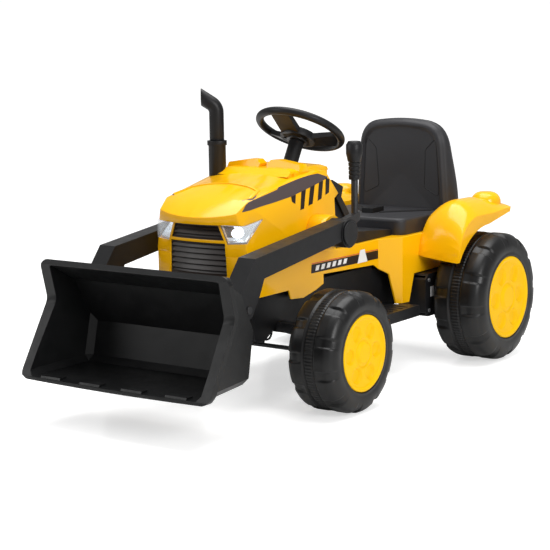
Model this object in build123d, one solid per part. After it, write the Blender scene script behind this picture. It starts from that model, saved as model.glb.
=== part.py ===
"""Child's ride-on digger: a battery tractor with a front loader bucket.

Everything is drawn with the front axle at y = 0 and the ground at z = 0, and is moved
along Y as it is saved, so that the origin lies under the middle of the whole toy.
-Y is forwards, +X is the driver's left and +Z is up.  All sizes are in millimetres.
"""
from build123d import *
from math import cos, pi, radians, sin, sqrt, tan
import os

os.makedirs("parts", exist_ok=True)

# ---------------------------------------------------------------- overall sizes
WHEELBASE = 628.0          # front axle to rear axle
FRONT_R = 127.0            # front wheel radius
REAR_R = 150.0             # rear wheel radius
FRONT_W = 117.0            # front wheel width
REAR_W = 132.0             # rear wheel width
FRONT_FACE = 314.0         # outer face of a front wheel, from the middle
REAR_FACE = 317.0          # outer face of a rear wheel, from the middle
NOSE_HALF = 118.0          # half width of the nose and the body side
SILL_HALF = 148.0          # half width of the body beside the seat
NOSE_Y = -158.0            # front of the nose panel, on the middle line
NOSE_CORNER_Y = -137.0     # where the nose turns into the side
HOOD_LIP = 16.0            # how far the hood's lip stands over the nose panel
SEAM_Z = 330.0             # joint between the hood and the lower body
DECK_Z = 306.0             # deck that the seat stands on
LIP_REACH = 444.0          # bucket's cutting edge, ahead of the front axle
BUCKET_HALF = 243.0        # half width over the bucket's rim
ARM_IN = 161.0             # inner face of a loader arm
ARM_WIDTH = 42.0           # width of a loader arm
ARM_PIVOT = (113.5, 355.5)     # y, z of the arm's hinge
BUCKET_PIVOT = (-250.0, 246.0) # y, z of the bucket's hinge, arms down

# ---------------------------------------------------------------- walls and fits
WALL = 4.0                 # moulded shells
ARM_WALL = 4.0             # hollow loader arms
TYRE_WALL = 5.0            # blow-moulded wheels
RUN = 0.06                 # radial clearance of a shaft that turns
PLAY = 0.4                 # gap between neighbours that move
SEAT_GAP = 1.0             # gap between seat and its neighbours

# ---------------------------------------------------------------- running gear
STUB_R = 5.0               # front stub axle radius
REAR_ROD_R = 6.0           # rear axle rod radius
KINGPIN_X = 172.0          # steering axis of a front wheel, from the middle
KINGPIN_R = 5.0
KNUCKLE_HALF = 11.0        # half width of the knuckle block
KNUCKLE_TALL = 30.0        # half height of the knuckle block
EAR_T = 8.0                # thickness of the beam's ears above and below the knuckle
TIE_SWING = 21.5           # how far the tie rod goes to each side at full lock
TIE_FORK_HALF = 14.0       # half width of the fork that takes the crank pin
BEAM_HALF = 13.0           # half depth of the front beam
BEAM_RISE = 27.0           # underside of the beam above the wheels' centres
BEAM_T = 19.0              # its thickness
STEER_ARM = 60.0           # knuckle's steering arm, kingpin to tie rod
TIE_PIN_R = 4.0
ARM_PLATE_T = 6.0          # thickness of the steering arm and the tie rod
STEER_ARM_Z = 106.0        # underside of the steering arm
HUB_FRONT_R = 81.0
HUB_REAR_R = 97.0
HUB_DEEP = 24.0            # depth of the recess that the hub cap fills
BOSS_R = 17.0              # wheel's centre boss

# ---------------------------------------------------------------- steering
WHEEL_C = (229.0, 563.0)   # y, z of the steering wheel's centre
WHEEL_RIM_R = 94.0         # rim's centre line
WHEEL_GRIP_R = 9.0         # rim's own radius
BELL_R = 40.0              # bell under the wheel's hub
BELL_HIGH = 9.0            # its top and bottom, below the rim's middle plane
BELL_LOW = 25.0
# spokes: direction (0 is the driver's left, 90 is towards the driver), half width at the hub and the rim
SPOKES = [(270, 26.0, 23.0), (27, 20.0, 33.0), (153, 20.0, 33.0)]
TILT = 29.8                # steering axis leans back, degrees from upright
SHAFT_R = 6.0
COLUMN_R = 16.5
COLUMN_LONG = 270.0
CRANK = 35.0               # crank radius at the foot of the steering shaft
SHAFT_LONG = 436.0         # steering wheel centre to crank
CRANK_PIN = 30.0

# ---------------------------------------------------------------- loader
BARREL_R = 31.0            # arm's hub at the hinge
ARM_TIP_R = 18.5           # arm's rounded lower end
ARM_PIN_R = 9.0
BUCKET_PIN_R = 5.0
BUCKET_T = 4.0
BUCKET_CORNER = 14.0       # corner between the bucket's floor, back and sides
BRACKET_R = 37.0
LEVER_Y, LEVER_X = 184.0, 172.0
GRIP_TOP = 546.0
GRIP_FOOT = 463.0
LEVER_R = 7.5

# ---------------------------------------------------------------- hood and console
BOSS_OUT = 33.0            # boss round the foot of the steering column
BOSS_DOWN = 115.0          # its middle, below the steering wheel's centre
RIB_UP = 2.5               # height of the rib across the hood
CONSOLE_HALF = 108.0
DASH_A, DASH_B = (194.0, 458.0), (237.0, 439.0)    # panel's front and rear edges
START_X, START_R, START_DEEP = 58.0, 11.0, 10.0
SWITCH_X, SWITCH_W, SWITCH_L = -58.0, 20.0, 30.0
SWITCH_AXIS = -5.0         # rocker's pin, below the panel
SWITCH_PIN_R = 2.0
BRACKET_IN, BRACKET_OUT = 100.0, 160.0

# ---------------------------------------------------------------- drive and battery
GEARBOX = (102.0, 176.0, WHEELBASE - 149, WHEELBASE + 32, 112.0, 212.0)   # x, y and z of the casing
MOTOR_R, MOTOR_IN = 18.0, 42.0
MOTOR_AT = (WHEELBASE - 108, 168.0)
BATTERY = (32.0, 250.0, 400.0, 92.0)       # half width, front, rear, height
WIRE_R = 2.2
WIRE_HOLE_R = 6.5          # hole the wire comes out of
WIRE_X, WIRE_FRONT, WIRE_REAR, WIRE_LOW = 90.0, -51.0, -18.0, 139.0

# ---------------------------------------------------------------- body furniture
CHASSIS_HALF = 100.0
CHASSIS_Z = 140.0          # underside of the trough
CHASSIS_TOP = 244.0
CHASSIS_FRONT, CHASSIS_REAR = -92.0, 690.0
FOOT_HALF = 195.0
FOOT_Z = 152.0
FOOT_T = 25.0
FOOT_FRONT, FOOT_REAR = 176.0, 420.0
SEAT_HALF = 135.0
SEAT_FRONT = 442.0
BACK_FRONT = 655.0
BACK_HALF = 117.0
BACK_FLARE = 14.0          # how much wider the backrest is at its foot, each side
BACK_THIN = 38.0           # its thickness at the top
BACK_TOP = 563.0
BACK_DEEP = 70.0
CUSHION_T = 39.0
EXHAUST = (-100.0, 53.0)   # x, y of the exhaust stack
EXHAUST_R = 16.0
EXHAUST_TURN = 54.5        # the tip points this far to the driver's right of straight ahead
EXHAUST_BEND_Z = 622.0     # where the stack bends over
EXHAUST_SLOPE = 33.0       # rise of the bent part, degrees
EXHAUST_REACH = 33.0       # pipe's upright cut end, from the stack's axis
BASE_R = 19.0
BASE_TOP = 548.0
FENDER_HALF = 262.0
FENDER_NOSE = 96.0         # length of the mudguard's rounded front
HUMP_AT, HUMP_R, HUMP_TOP = (206.0, 716.0), 36.0, 386.0   # raised dome on the mudguard's tail
ARCH_R = 170.0             # wheel arch radius round the rear wheel

TAIL = WHEELBASE + REAR_R
SHIFT_Y = (LIP_REACH - TAIL) / 2   # puts the middle of the length at y = 0
ARM_OUT = ARM_IN + ARM_WIDTH
AXIS_UP = Vector(0, sin(radians(TILT)), cos(radians(TILT)))
AXIS_BACK = Vector(0, cos(radians(TILT)), -sin(radians(TILT)))
HUB_CENTRE = Vector(0, *WHEEL_C)


# ================================================================ helpers
def save(name, shape):
    """Write one piece, moved into the toy's own frame."""
    export_step(Pos(0, SHIFT_Y, 0) * shape, f"parts/{name}.step")


def block(x0, x1, y0, y1, z0, z1):
    size = (abs(x1 - x0), abs(y1 - y0), abs(z1 - z0))
    return Pos((x0 + x1) / 2, (y0 + y1) / 2, (z0 + z1) / 2) * Box(*size)


def rod_x(radius, x0, x1, y, z):
    """Round bar along X."""
    return Pos((x0 + x1) / 2, y, z) * Rot(0, 90, 0) * Cylinder(radius, abs(x1 - x0))


def rod_z(radius, x, y, z0, z1):
    return Pos(x, y, (z0 + z1) / 2) * Cylinder(radius, abs(z1 - z0))


def slab_yz(points, x0, x1):
    """Outline in (y, z), given thickness from x0 to x1."""
    face = make_face(Polyline(*[(y, z) for y, z in points], close=True))
    plane = Plane(origin=(min(x0, x1), 0, 0), x_dir=(0, 1, 0), z_dir=(1, 0, 0))
    return extrude(plane * face, abs(x1 - x0))


def slab_xz(points, y0, y1):
    """Outline in (x, z), given depth from y0 to y1."""
    face = make_face(Polyline(*[(x, z) for x, z in points], close=True))
    plane = Plane(origin=(0, max(y0, y1), 0), x_dir=(1, 0, 0), z_dir=(0, -1, 0))
    return extrude(plane * face, abs(y1 - y0))


def slab_xy(points, z0, z1):
    face = make_face(Polyline(*points, close=True))
    return extrude(Plane.XY.offset(min(z0, z1)) * face, abs(z1 - z0))


def other_side(shape):
    return mirror(shape, Plane.YZ)


def both(shape):
    return shape + other_side(shape)


def on_axis(distance, shape):
    """Stand a shape on the steering axis, this far below the wheel's centre."""
    plane = Plane(origin=HUB_CENTRE - AXIS_UP * distance, x_dir=(1, 0, 0), z_dir=AXIS_UP)
    return plane * shape


# ================================================================ wheels
def wheel_shell(radius, width, face_x, hub_r, bore_r, lugs):
    """Hollow moulded wheel: lugged tread, recess for the hub cap, boss for the axle."""
    shoulder = radius * 0.13
    side = width / 2
    outline = [(-side, bore_r), (-side, radius - shoulder), (-side + shoulder, radius),
               (side - shoulder, radius), (side, radius - shoulder), (side, hub_r),
               (side - HUB_DEEP, hub_r), (side - HUB_DEEP, bore_r)]
    body = revolve(Plane.XY * make_face(Polyline(*outline, close=True)), Axis.X)
    t = TYRE_WALL
    hollow = [(-side + t, BOSS_R), (-side + t, radius - shoulder - t),
              (-side + shoulder + t / 2, radius - 2 * t), (side - shoulder - t / 2, radius - 2 * t),
              (side - t, radius - shoulder - t), (side - t, hub_r + t),
              (side - HUB_DEEP - t, hub_r + t), (side - HUB_DEEP - t, BOSS_R)]
    body -= revolve(Plane.XY * make_face(Polyline(*hollow, close=True)), Axis.X)
    depth, notch = t * 0.8, radius * 0.11
    for end in (-1, 1):
        cutter = Pos(end * (side - shoulder * 0.9), 0, radius) * Box(shoulder * 2.4, notch, depth * 2)
        body -= [Rot(360 * i / lugs, 0, 0) * cutter for i in range(lugs)]
    ring = width * 0.20
    for end in (-1, 1):
        groove = Rot(0, 90, 0) * (Cylinder(radius + 1, 4) - Cylinder(radius - depth, 4))
        body -= Pos(end * ring, 0, 0) * groove
    return Pos(face_x - side, 0, 0) * body


def hub_cap(face_x, hub_r):
    """Yellow cap: a dished cup with a raised boss and six round hollows."""
    foot = face_x - HUB_DEEP
    lip = 3.0
    rim_r = hub_r - 0.3
    rise = [(foot, rim_r - lip), (foot, rim_r), (face_x - 2, rim_r), (face_x, rim_r - 2),
            (face_x, rim_r * 0.88), (face_x - 5, rim_r * 0.82), (face_x - 5, rim_r * 0.36),
            (face_x, rim_r * 0.32), (face_x, 0), (face_x - lip, 0), (face_x - lip, rim_r * 0.30),
            (face_x - 5 - lip, rim_r * 0.34), (face_x - 5 - lip, rim_r * 0.84),
            (face_x - lip, rim_r * 0.90), (face_x - lip, rim_r - lip)]
    cap = revolve(Plane.XY * make_face(Polyline(*rise, close=True)), Axis.X)
    hollow = Pos(face_x - 5, 0, rim_r * 0.59) * Rot(0, 90, 0) * Cylinder(rim_r * 0.17, 3)
    return cap - [Rot(60 * i, 0, 0) * hollow for i in range(6)]


def axle_nut(x0, bore_r, y, z):
    nut = extrude(Plane(origin=(x0, y, z), z_dir=(1, 0, 0)) * RegularPolygon(bore_r * 1.8, 6), 7)
    return nut - rod_x(bore_r, x0 - 1, x0 + 8, y, z)


def make_wheels():
    stations = {"front": (0.0, FRONT_R, FRONT_W, FRONT_FACE, HUB_FRONT_R, STUB_R, 18),
                "rear": (WHEELBASE, REAR_R, REAR_W, REAR_FACE, HUB_REAR_R, REAR_ROD_R, 20)}
    for end, (y, radius, width, face_x, hub_r, axle_r, lugs) in stations.items():
        shell = Pos(0, y, radius) * wheel_shell(radius, width, face_x, hub_r, axle_r + RUN, lugs)
        cap = Pos(0, y, radius) * hub_cap(face_x, hub_r)
        save(f"{end}_left_tyre", shell)
        save(f"{end}_right_tyre", other_side(shell))
        save(f"{end}_left_hub", cap)
        save(f"{end}_right_hub", other_side(cap))


# ================================================================ front axle and steering
def make_front_axle():
    z = FRONT_R
    reach = KINGPIN_X - KNUCKLE_HALF * sqrt(2) - PLAY
    low = z + BEAM_RISE
    beam = block(-reach, reach, -BEAM_HALF, BEAM_HALF, low, low + BEAM_T)
    ear_low = KNUCKLE_TALL + PLAY
    for end in (-1, 1):
        beam += block(end * (reach - 12), end * reach, -BEAM_HALF, BEAM_HALF, z - ear_low - EAR_T, low + BEAM_T)
        for ear_z in (z - ear_low - EAR_T, z + ear_low):
            beam += block(end * (reach - 12), end * KINGPIN_X, -BEAM_HALF, BEAM_HALF, ear_z, ear_z + EAR_T)
            beam += rod_z(BEAM_HALF, end * KINGPIN_X, 0, ear_z, ear_z + EAR_T)
        beam -= rod_z(KINGPIN_R + RUN, end * KINGPIN_X, 0, 0, 2 * z)
    save("front_axle_beam", beam)

    pin_half = KNUCKLE_TALL + PLAY + EAR_T + 2
    knuckle = block(KINGPIN_X - KNUCKLE_HALF, KINGPIN_X + KNUCKLE_HALF, -KNUCKLE_HALF, KNUCKLE_HALF,
                    z - KNUCKLE_TALL, z + KNUCKLE_TALL)
    knuckle += rod_z(KINGPIN_R, KINGPIN_X, 0, z - pin_half, z + pin_half)
    inner_face = FRONT_FACE - FRONT_W
    knuckle += rod_x(STUB_R, KINGPIN_X, FRONT_FACE - HUB_DEEP + 10, 0, z)
    knuckle += rod_x(9, KINGPIN_X, inner_face - PLAY, 0, z)
    arm_z = STEER_ARM_Z
    knuckle += block(KINGPIN_X - 8, KINGPIN_X + 8, 0, STEER_ARM, arm_z, arm_z + ARM_PLATE_T)
    knuckle += rod_z(8, KINGPIN_X, STEER_ARM, arm_z, arm_z + ARM_PLATE_T)
    knuckle -= rod_z(TIE_PIN_R + RUN, KINGPIN_X, STEER_ARM, arm_z - 1, arm_z + ARM_PLATE_T + 1)
    save("knuckle_left", knuckle)
    save("knuckle_right", other_side(knuckle))
    nut = axle_nut(FRONT_FACE - HUB_DEEP + PLAY, STUB_R, 0, z)
    save("front_nut_left", nut)
    save("front_nut_right", other_side(nut))

    bar_top = arm_z - PLAY
    bar_low = bar_top - ARM_PLATE_T
    rod = block(-KINGPIN_X, KINGPIN_X, STEER_ARM - 8, STEER_ARM + 8, bar_low, bar_top)
    for end in (-1, 1):
        rod += rod_z(8, end * KINGPIN_X, STEER_ARM, bar_low, bar_top)
        rod += rod_z(TIE_PIN_R, end * KINGPIN_X, STEER_ARM, bar_low, arm_z + ARM_PLATE_T + 3)
    fork_z = FRONT_R + 22
    rod += block(-TIE_FORK_HALF, TIE_FORK_HALF, STEER_ARM - 3, STEER_ARM + 1, bar_low, fork_z + 4)
    rod += block(-TIE_FORK_HALF, TIE_FORK_HALF, 14, STEER_ARM + 1, fork_z, fork_z + 4)
    rod -= block(-TIE_PIN_R - 1.2, TIE_PIN_R + 1.2, 19, 50, fork_z - 1, fork_z + 5)
    save("tie_rod", rod)


def make_steering():
    hub_r, hub_deep = 24.0, 30.0
    rim = on_axis(0, Torus(WHEEL_RIM_R, WHEEL_GRIP_R))
    hub = on_axis(hub_deep, Pos(0, 0, (hub_deep - 4) / 2) * Cylinder(hub_r, hub_deep - 4))
    wheel = rim + hub
    wheel += on_axis(BELL_LOW, Pos(0, 0, (BELL_LOW - BELL_HIGH) / 2) * Cylinder(BELL_R, BELL_LOW - BELL_HIGH))
    inner, outer = hub_r - 6, WHEEL_RIM_R
    for turn, root, tip in SPOKES:
        side = slab_xz([(inner, -hub_deep + 2), (outer, -5), (outer, 5), (inner, -hub_deep + 16)], -tip, tip)
        plan = slab_xy([(inner, -root), (outer, -tip), (outer, tip), (inner, root)], -hub_deep, 10)
        wheel += on_axis(0, Rot(0, 0, turn) * (side & plan))
    button_r, button_t = 17.0, 6.0
    wheel -= on_axis(4 + button_t + 4, Pos(0, 0, 10) * Cylinder(button_r + PLAY, 20))
    wheel -= on_axis(hub_deep, Cylinder(SHAFT_R, hub_deep))
    save("steering_wheel", wheel)
    save("horn_button", on_axis(4, Pos(0, 0, -button_t / 2 + 2) * Cylinder(button_r, button_t)))

    top = hub_deep / 2 + 2
    shaft = on_axis(SHAFT_LONG, Pos(0, 0, (SHAFT_LONG - top) / 2) * Cylinder(SHAFT_R, SHAFT_LONG - top))
    crank_plane = Plane(origin=HUB_CENTRE - AXIS_UP * SHAFT_LONG, x_dir=AXIS_BACK, z_dir=AXIS_UP)
    crank = Pos(CRANK / 2, 0, -3) * Box(CRANK, 12, 6)
    crank += Pos(0, 0, -3) * Cylinder(9, 6) + Pos(CRANK, 0, -3) * Cylinder(7, 6)
    crank += Pos(CRANK, 0, -CRANK_PIN / 2) * Cylinder(TIE_PIN_R, CRANK_PIN)
    save("steering_shaft", shaft + crank_plane * crank)

    tube = Pos(0, 0, COLUMN_LONG / 2) * (Cylinder(COLUMN_R, COLUMN_LONG) - Cylinder(COLUMN_R - 3, COLUMN_LONG))
    bush = Cylinder(COLUMN_R - 3, 12) - Cylinder(SHAFT_R + RUN, 12)
    tube += Pos(0, 0, 6) * bush + Pos(0, 0, COLUMN_LONG - 6) * bush
    save("steering_column", on_axis(hub_deep + PLAY + COLUMN_LONG, tube))


# ================================================================ loader
def make_arms():
    py, pz = ARM_PIVOT
    by, bz = BUCKET_PIVOT
    elbow, elbow_in = (-225.0, 345.0), (-196.0, 302.0)
    outline = [(py - 13, pz + 28), elbow, (-281, 277), (by - 16.7, bz - 8), (by + 14, bz - 12),
               (-214, 266), elbow_in, (py - 13, pz - 12)]
    arm = slab_yz(outline, ARM_IN, ARM_OUT)
    arm += rod_x(ARM_TIP_R, ARM_IN, ARM_OUT, by, bz)
    arm += rod_x(BARREL_R, ARM_IN, ARM_OUT + 2, py, pz)
    w = ARM_WALL
    hollow = [(py - 36, pz + 19), (elbow[0] + 3, elbow[1] - 5), (-270, 285), (-262, 273),
              (-228, 273), (elbow_in[0] - 4, elbow_in[1] + 6), (py - 36, pz - 9)]
    arm -= slab_yz(hollow, ARM_IN + w, ARM_OUT - w)
    arm -= rod_x(ARM_PIN_R, ARM_IN - 1, ARM_OUT - 8, py, pz)
    arm -= rod_x(BUCKET_PIN_R, ARM_IN - 1, ARM_OUT + 1, by, bz)
    save("arm_left", arm)
    save("arm_right", other_side(arm))
    cap = rod_x(BARREL_R - 4, ARM_OUT + 2, ARM_OUT + 6, py, pz)
    save("arm_caps", both(cap))
    pin = rod_x(ARM_PIN_R, NOSE_HALF + 8, ARM_OUT - 8, py, pz)
    save("arm_pivot_pins", both(pin))
    screw = rod_x(BUCKET_PIN_R, ARM_IN - 12, ARM_OUT, by, bz) + rod_x(8, ARM_OUT, ARM_OUT + 3, by, bz)
    save("bucket_pins", both(screw))

    foot_z = pz + 33
    lever = rod_z(LEVER_R, LEVER_X, LEVER_Y, foot_z - 6, GRIP_FOOT + 20)
    link = slab_yz([(py + 10, pz + 24), (LEVER_Y + 9, foot_z + 4), (LEVER_Y + 9, foot_z - 14),
                    (py + 24, pz - 4)], LEVER_X - 8, LEVER_X + 8)
    lever = lever + link - rod_x(BARREL_R, ARM_IN - 1, ARM_OUT + 3, py, pz)
    save("lift_lever", lever)
    grip_mid = (GRIP_TOP + GRIP_FOOT) / 2
    half = (GRIP_TOP - GRIP_FOOT) / 2
    profile = [(0, -half), (12.5, -half), (13, -half * 0.2), (18, half * 0.35), (18, half * 0.8),
               (13, half), (0, half)]
    grip = revolve(Plane.XZ * make_face(Polyline(*profile, close=True)), Axis.Z)
    for i in range(4):
        z = -half * 0.75 + i * 9
        grip -= Pos(0, 0, z) * (Cylinder(20, 2) - Cylinder(11.3, 2))
    grip = Pos(LEVER_X, LEVER_Y, grip_mid) * grip
    grip -= rod_z(LEVER_R, LEVER_X, LEVER_Y, GRIP_FOOT - 1, GRIP_FOOT + 20)
    save("lift_grip", grip)


# bucket side profile at rest: inner faces, front to back to front, as (y, z)
BUCKET_TOP = (-366.0, 322.0)
BUCKET_KNEE = (-296.0, 281.0)
BUCKET_HEEL = (-246.0, 188.0)
BUCKET_FLOOR = (-264.0, 106.0)
BUCKET_LIP = (-436.0, 101.0)
BUCKET_NOTCH = (-348.0, 246.0)


BUCKET_WAIST = 26.0        # radius of the waist in the bucket's sides
MOUTH_CORNER = 20.0        # outer corners of the mouth
RIM_WIDE = 19.0            # width of the flange round the mouth


def extrude_yz(outline, x0, x1):
    """Closed outline in (y, z), given thickness from x0 to x1."""
    plane = Plane(origin=(min(x0, x1), 0, 0), x_dir=(0, 1, 0), z_dir=(1, 0, 0))
    return extrude(plane * make_face(outline), abs(x1 - x0))


def mouth_prism(half, z_low, z_high, radius):
    """Block as wide and high as the bucket's mouth, with rounded corners, from front to back."""
    form = block(-half, half, -LIP_REACH - 60, 0, z_low, z_high)
    return fillet(form.edges().filter_by(Axis.Y), radius)


def corner_edges(form):
    """Edges where the bucket's floor meets its back and sides, and its back its sides."""
    found = []
    for edge in form.edges():
        mid = edge.center()
        low = edge.bounding_box().max.Z < BUCKET_HEEL[1] + 5
        if low and mid.Y > BUCKET_LIP[0] + 30 and (abs(mid.X) > 150 or mid.Y > BUCKET_FLOOR[0] - 5):
            if mid.Z < BUCKET_HEEL[1] - 5:
                found.append(edge)
    return found


def make_bucket():
    inner = [BUCKET_TOP, BUCKET_KNEE, BUCKET_HEEL, BUCKET_FLOOR, BUCKET_LIP]
    t = BUCKET_T
    outer = [(BUCKET_TOP[0] + 3, BUCKET_TOP[1] + t), (BUCKET_KNEE[0] + t, BUCKET_KNEE[1] + t),
             (BUCKET_HEEL[0] + t * 1.1, BUCKET_HEEL[1]), (BUCKET_FLOOR[0] + t, BUCKET_FLOOR[1] - t),
             (BUCKET_LIP[0] + 4, BUCKET_LIP[1] - t - 2)]
    wall_in, wall_back = 221.0, 209.0

    front_y = BUCKET_LIP[0] - 10
    mouth = FilletPolyline(BUCKET_LIP, BUCKET_NOTCH, BUCKET_TOP, radius=BUCKET_WAIST)
    shell = extrude_yz(mouth + Polyline(BUCKET_TOP, *outer, BUCKET_LIP), -BUCKET_HALF, BUCKET_HALF)
    taper_out = [(-wall_in - t - 4, front_y), (-wall_back - t, BUCKET_HEEL[0] + 6),
                 (wall_back + t, BUCKET_HEEL[0] + 6), (wall_in + t + 4, front_y)]
    taper_in = [(-wall_in - 3, front_y), (-wall_back, BUCKET_HEEL[0] + 6),
                (wall_back, BUCKET_HEEL[0] + 6), (wall_in + 3, front_y)]
    z_low, z_high = BUCKET_LIP[1] - 20, BUCKET_TOP[1] + 20
    shell = shell & slab_xy(taper_out, z_low, z_high)
    shell = chamfer(corner_edges(shell), BUCKET_CORNER)
    scoop = slab_yz(inner + [(front_y - 20, BUCKET_LIP[1]), (front_y - 20, BUCKET_TOP[1])],
                    -BUCKET_HALF, BUCKET_HALF)
    scoop = scoop & slab_xy(taper_in, z_low, z_high)
    scoop = chamfer(corner_edges(scoop), BUCKET_CORNER - 2)
    scoop &= mouth_prism(BUCKET_HALF - RIM_WIDE, BUCKET_LIP[1] - 4, BUCKET_TOP[1] - 2, MOUTH_CORNER - 6)
    bucket = shell - scoop
    # flat flange round the two sides of the mouth
    rim_t = 12.0
    back_low = (BUCKET_LIP[0] + rim_t + 3, BUCKET_LIP[1] - t - 2)
    back_mid = (BUCKET_NOTCH[0] + rim_t, BUCKET_NOTCH[1])
    back_top = (BUCKET_TOP[0] + rim_t, BUCKET_TOP[1] + t)
    behind = FilletPolyline(back_top, back_mid, back_low, radius=BUCKET_WAIST)
    side_rim = mouth + Polyline(BUCKET_TOP, back_top) + behind + Polyline(back_low, BUCKET_LIP)
    bucket += both(extrude_yz(side_rim, wall_in, BUCKET_HALF))
    top_y, top_z = BUCKET_TOP
    top_rim = slab_yz([BUCKET_TOP, (top_y + 2, top_z + 10), (top_y + 14, top_z + 6), (top_y + 12, top_z - 6)],
                      -BUCKET_HALF, BUCKET_HALF)
    bucket += top_rim
    # cutting edge, bowed forwards in the middle
    edge_y = -LIP_REACH
    side_y, behind_y = BUCKET_LIP[0] + 2, BUCKET_LIP[0] + 20
    left_end, right_end = (-BUCKET_HALF, side_y), (BUCKET_HALF, side_y)
    bow = ThreePointArc(left_end, (0, edge_y), right_end)
    back = Polyline(right_end, (BUCKET_HALF, behind_y), (-BUCKET_HALF, behind_y), left_end)
    edge_face = make_face(bow + back)
    bucket += extrude(Plane.XY.offset(BUCKET_LIP[1] - 7) * edge_face, 7)
    bucket &= mouth_prism(BUCKET_HALF, BUCKET_LIP[1] - 7, BUCKET_TOP[1] + 10, MOUTH_CORNER)
    # four raised wear pads on the cutting edge, each sloping down to the front
    pad_w, pad_d, pad_t = 52.0, 24.0, 4.0
    for i in range(4):
        x = (i - 1.5) * 108
        front = edge_y + (side_y - edge_y) * (abs(x) / BUCKET_HALF) ** 2 + 1
        rear, floor = front + pad_d, BUCKET_LIP[1]
        pad = [(front, floor - 6), (front + 6, floor + pad_t), (rear, floor + pad_t), (rear, floor - 3)]
        bucket += slab_yz(pad, x - pad_w / 2, x + pad_w / 2)
    # one lug inside each arm
    by, bz = BUCKET_PIVOT
    lug_out = ARM_IN - PLAY - 1
    ear = [(by - 34, bz + 18), (by - 8, bz + 12), (by + 12, bz - 4), (by + 4, bz - 40)]
    lug = slab_yz(ear, lug_out - 10, lug_out)
    lug += rod_x(14, lug_out - 10, lug_out, by, bz)
    inside = [BUCKET_KNEE, BUCKET_HEEL, (BUCKET_HEEL[0] - 60, BUCKET_HEEL[1]), (BUCKET_KNEE[0] - 60, BUCKET_KNEE[1])]
    lug -= slab_yz(inside, lug_out - 11, lug_out + 1)
    lug -= rod_x(BUCKET_PIN_R + RUN, lug_out - 11, lug_out + 1, by, bz)
    bucket += both(lug)
    save("bucket", bucket)


# ================================================================ body shells
def plan_outline(inset, lip=0.0):
    """Plan of the nose and body side, bowed at the front."""
    x = NOSE_HALF - inset
    corner = NOSE_CORNER_Y + inset
    return x, corner, NOSE_Y + inset - lip


def nose_prism(inset, z0, z1, rear, lip=0.0):
    x, corner, front = plan_outline(inset, lip)
    outline = ThreePointArc((-x, corner), (0, front), (x, corner))
    outline += Polyline((x, corner), (x, rear), (-x, rear), (-x, corner))
    return extrude(Plane.XY.offset(z0) * make_face(outline), z1 - z0)


HOOD_REAR = 190.0
# hood sections: y, shoulder half width, shoulder height, crown height
HOOD_RIBS = [(-180.0, 92.0, 398.0, 406.0), (-118.0, 106.0, 440.0, 450.0), (30.0, 110.0, 470.0, 480.0),
             (130.0, 112.0, 482.0, 487.0), (207.0, 113.0, 482.0, 487.0)]


def hood_loft(inset):
    ribs = []
    for y, half, shoulder, crown in HOOD_RIBS:
        w = half - inset
        foot = NOSE_HALF + 1 - inset
        outline = Polyline((w, shoulder - inset), (foot, SEAM_Z), (-foot, SEAM_Z), (-w, shoulder - inset))
        outline += ThreePointArc((-w, shoulder - inset), (0, crown - inset), (w, shoulder - inset))
        plane = Plane(origin=(0, y, 0), x_dir=(1, 0, 0), z_dir=(0, -1, 0))
        ribs.append(plane * make_face(outline))
    return loft(ribs, ruled=True)


def hood_solid(inset):
    """Outer or inner form of the hood: loft, trimmed by its plan and its sloping rear."""
    lip_z = 396.0
    upper = nose_prism(inset, lip_z, 520, 400, HOOD_LIP)
    lower = nose_prism(inset, SEAM_Z, lip_z, 400)
    form = hood_loft(inset) & (upper + lower)
    rear = [(-400, SEAM_Z - 5), (HOOD_REAR - inset, SEAM_Z - 5), (HOOD_REAR - inset, 418), (206 - inset, 428),
            (166 - inset, 474 - inset / 2), (150, 540), (-400, 540)]
    return form & slab_yz(rear, -200, 200)


LAMP_TURN = 40.0
LAMP_OUTLINE = [(-51.0, 395.0), (-36.6, 355.0), (2.3, 357.0), (38.7, 402.0), (-3.7, 394.0)]


def lamp_prism(scale, d0, d1):
    """Headlight outline seen square on, facing forwards and outwards on the driver's left."""
    turn = radians(LAMP_TURN)
    mid_u = sum(p[0] for p in LAMP_OUTLINE) / 5
    mid_v = sum(p[1] for p in LAMP_OUTLINE) / 5
    points = [(mid_u + (u - mid_u) * scale, mid_v + (v - mid_v) * scale) for u, v in LAMP_OUTLINE]
    out = Vector(sin(turn), -cos(turn), 0)
    plane = Plane(origin=out * d0, x_dir=(cos(turn), sin(turn), 0), z_dir=out)
    return extrude(plane * make_face(Polyline(*points, close=True)), d1 - d0)


UPPER_GRILLE = [(-56.0, 394.0), (-69.0, 363.0), (69.0, 363.0), (56.0, 394.0)]
LOWER_GRILLE = [(-71.0, 357.0), (-74.0, 288.0), (74.0, 288.0), (71.0, 357.0)]


def grille(outline, slats):
    z_top, z_low = outline[0][1], outline[1][1]
    plate = slab_xz(outline, -200, -90)
    layer = nose_prism(2.5, 240, 396, 60) - nose_prism(11.5, 239, 397, 60)
    piece = plate & layer
    pitch = (z_top - z_low) / (slats + 0.5)
    for i in range(slats):
        z = z_low + pitch * (i + 0.55)
        span = min(abs(outline[0][0]), abs(outline[1][0])) - 6
        piece -= block(-span, span, -200, NOSE_Y + 9, z, z + pitch * 0.42)
    return piece


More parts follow.
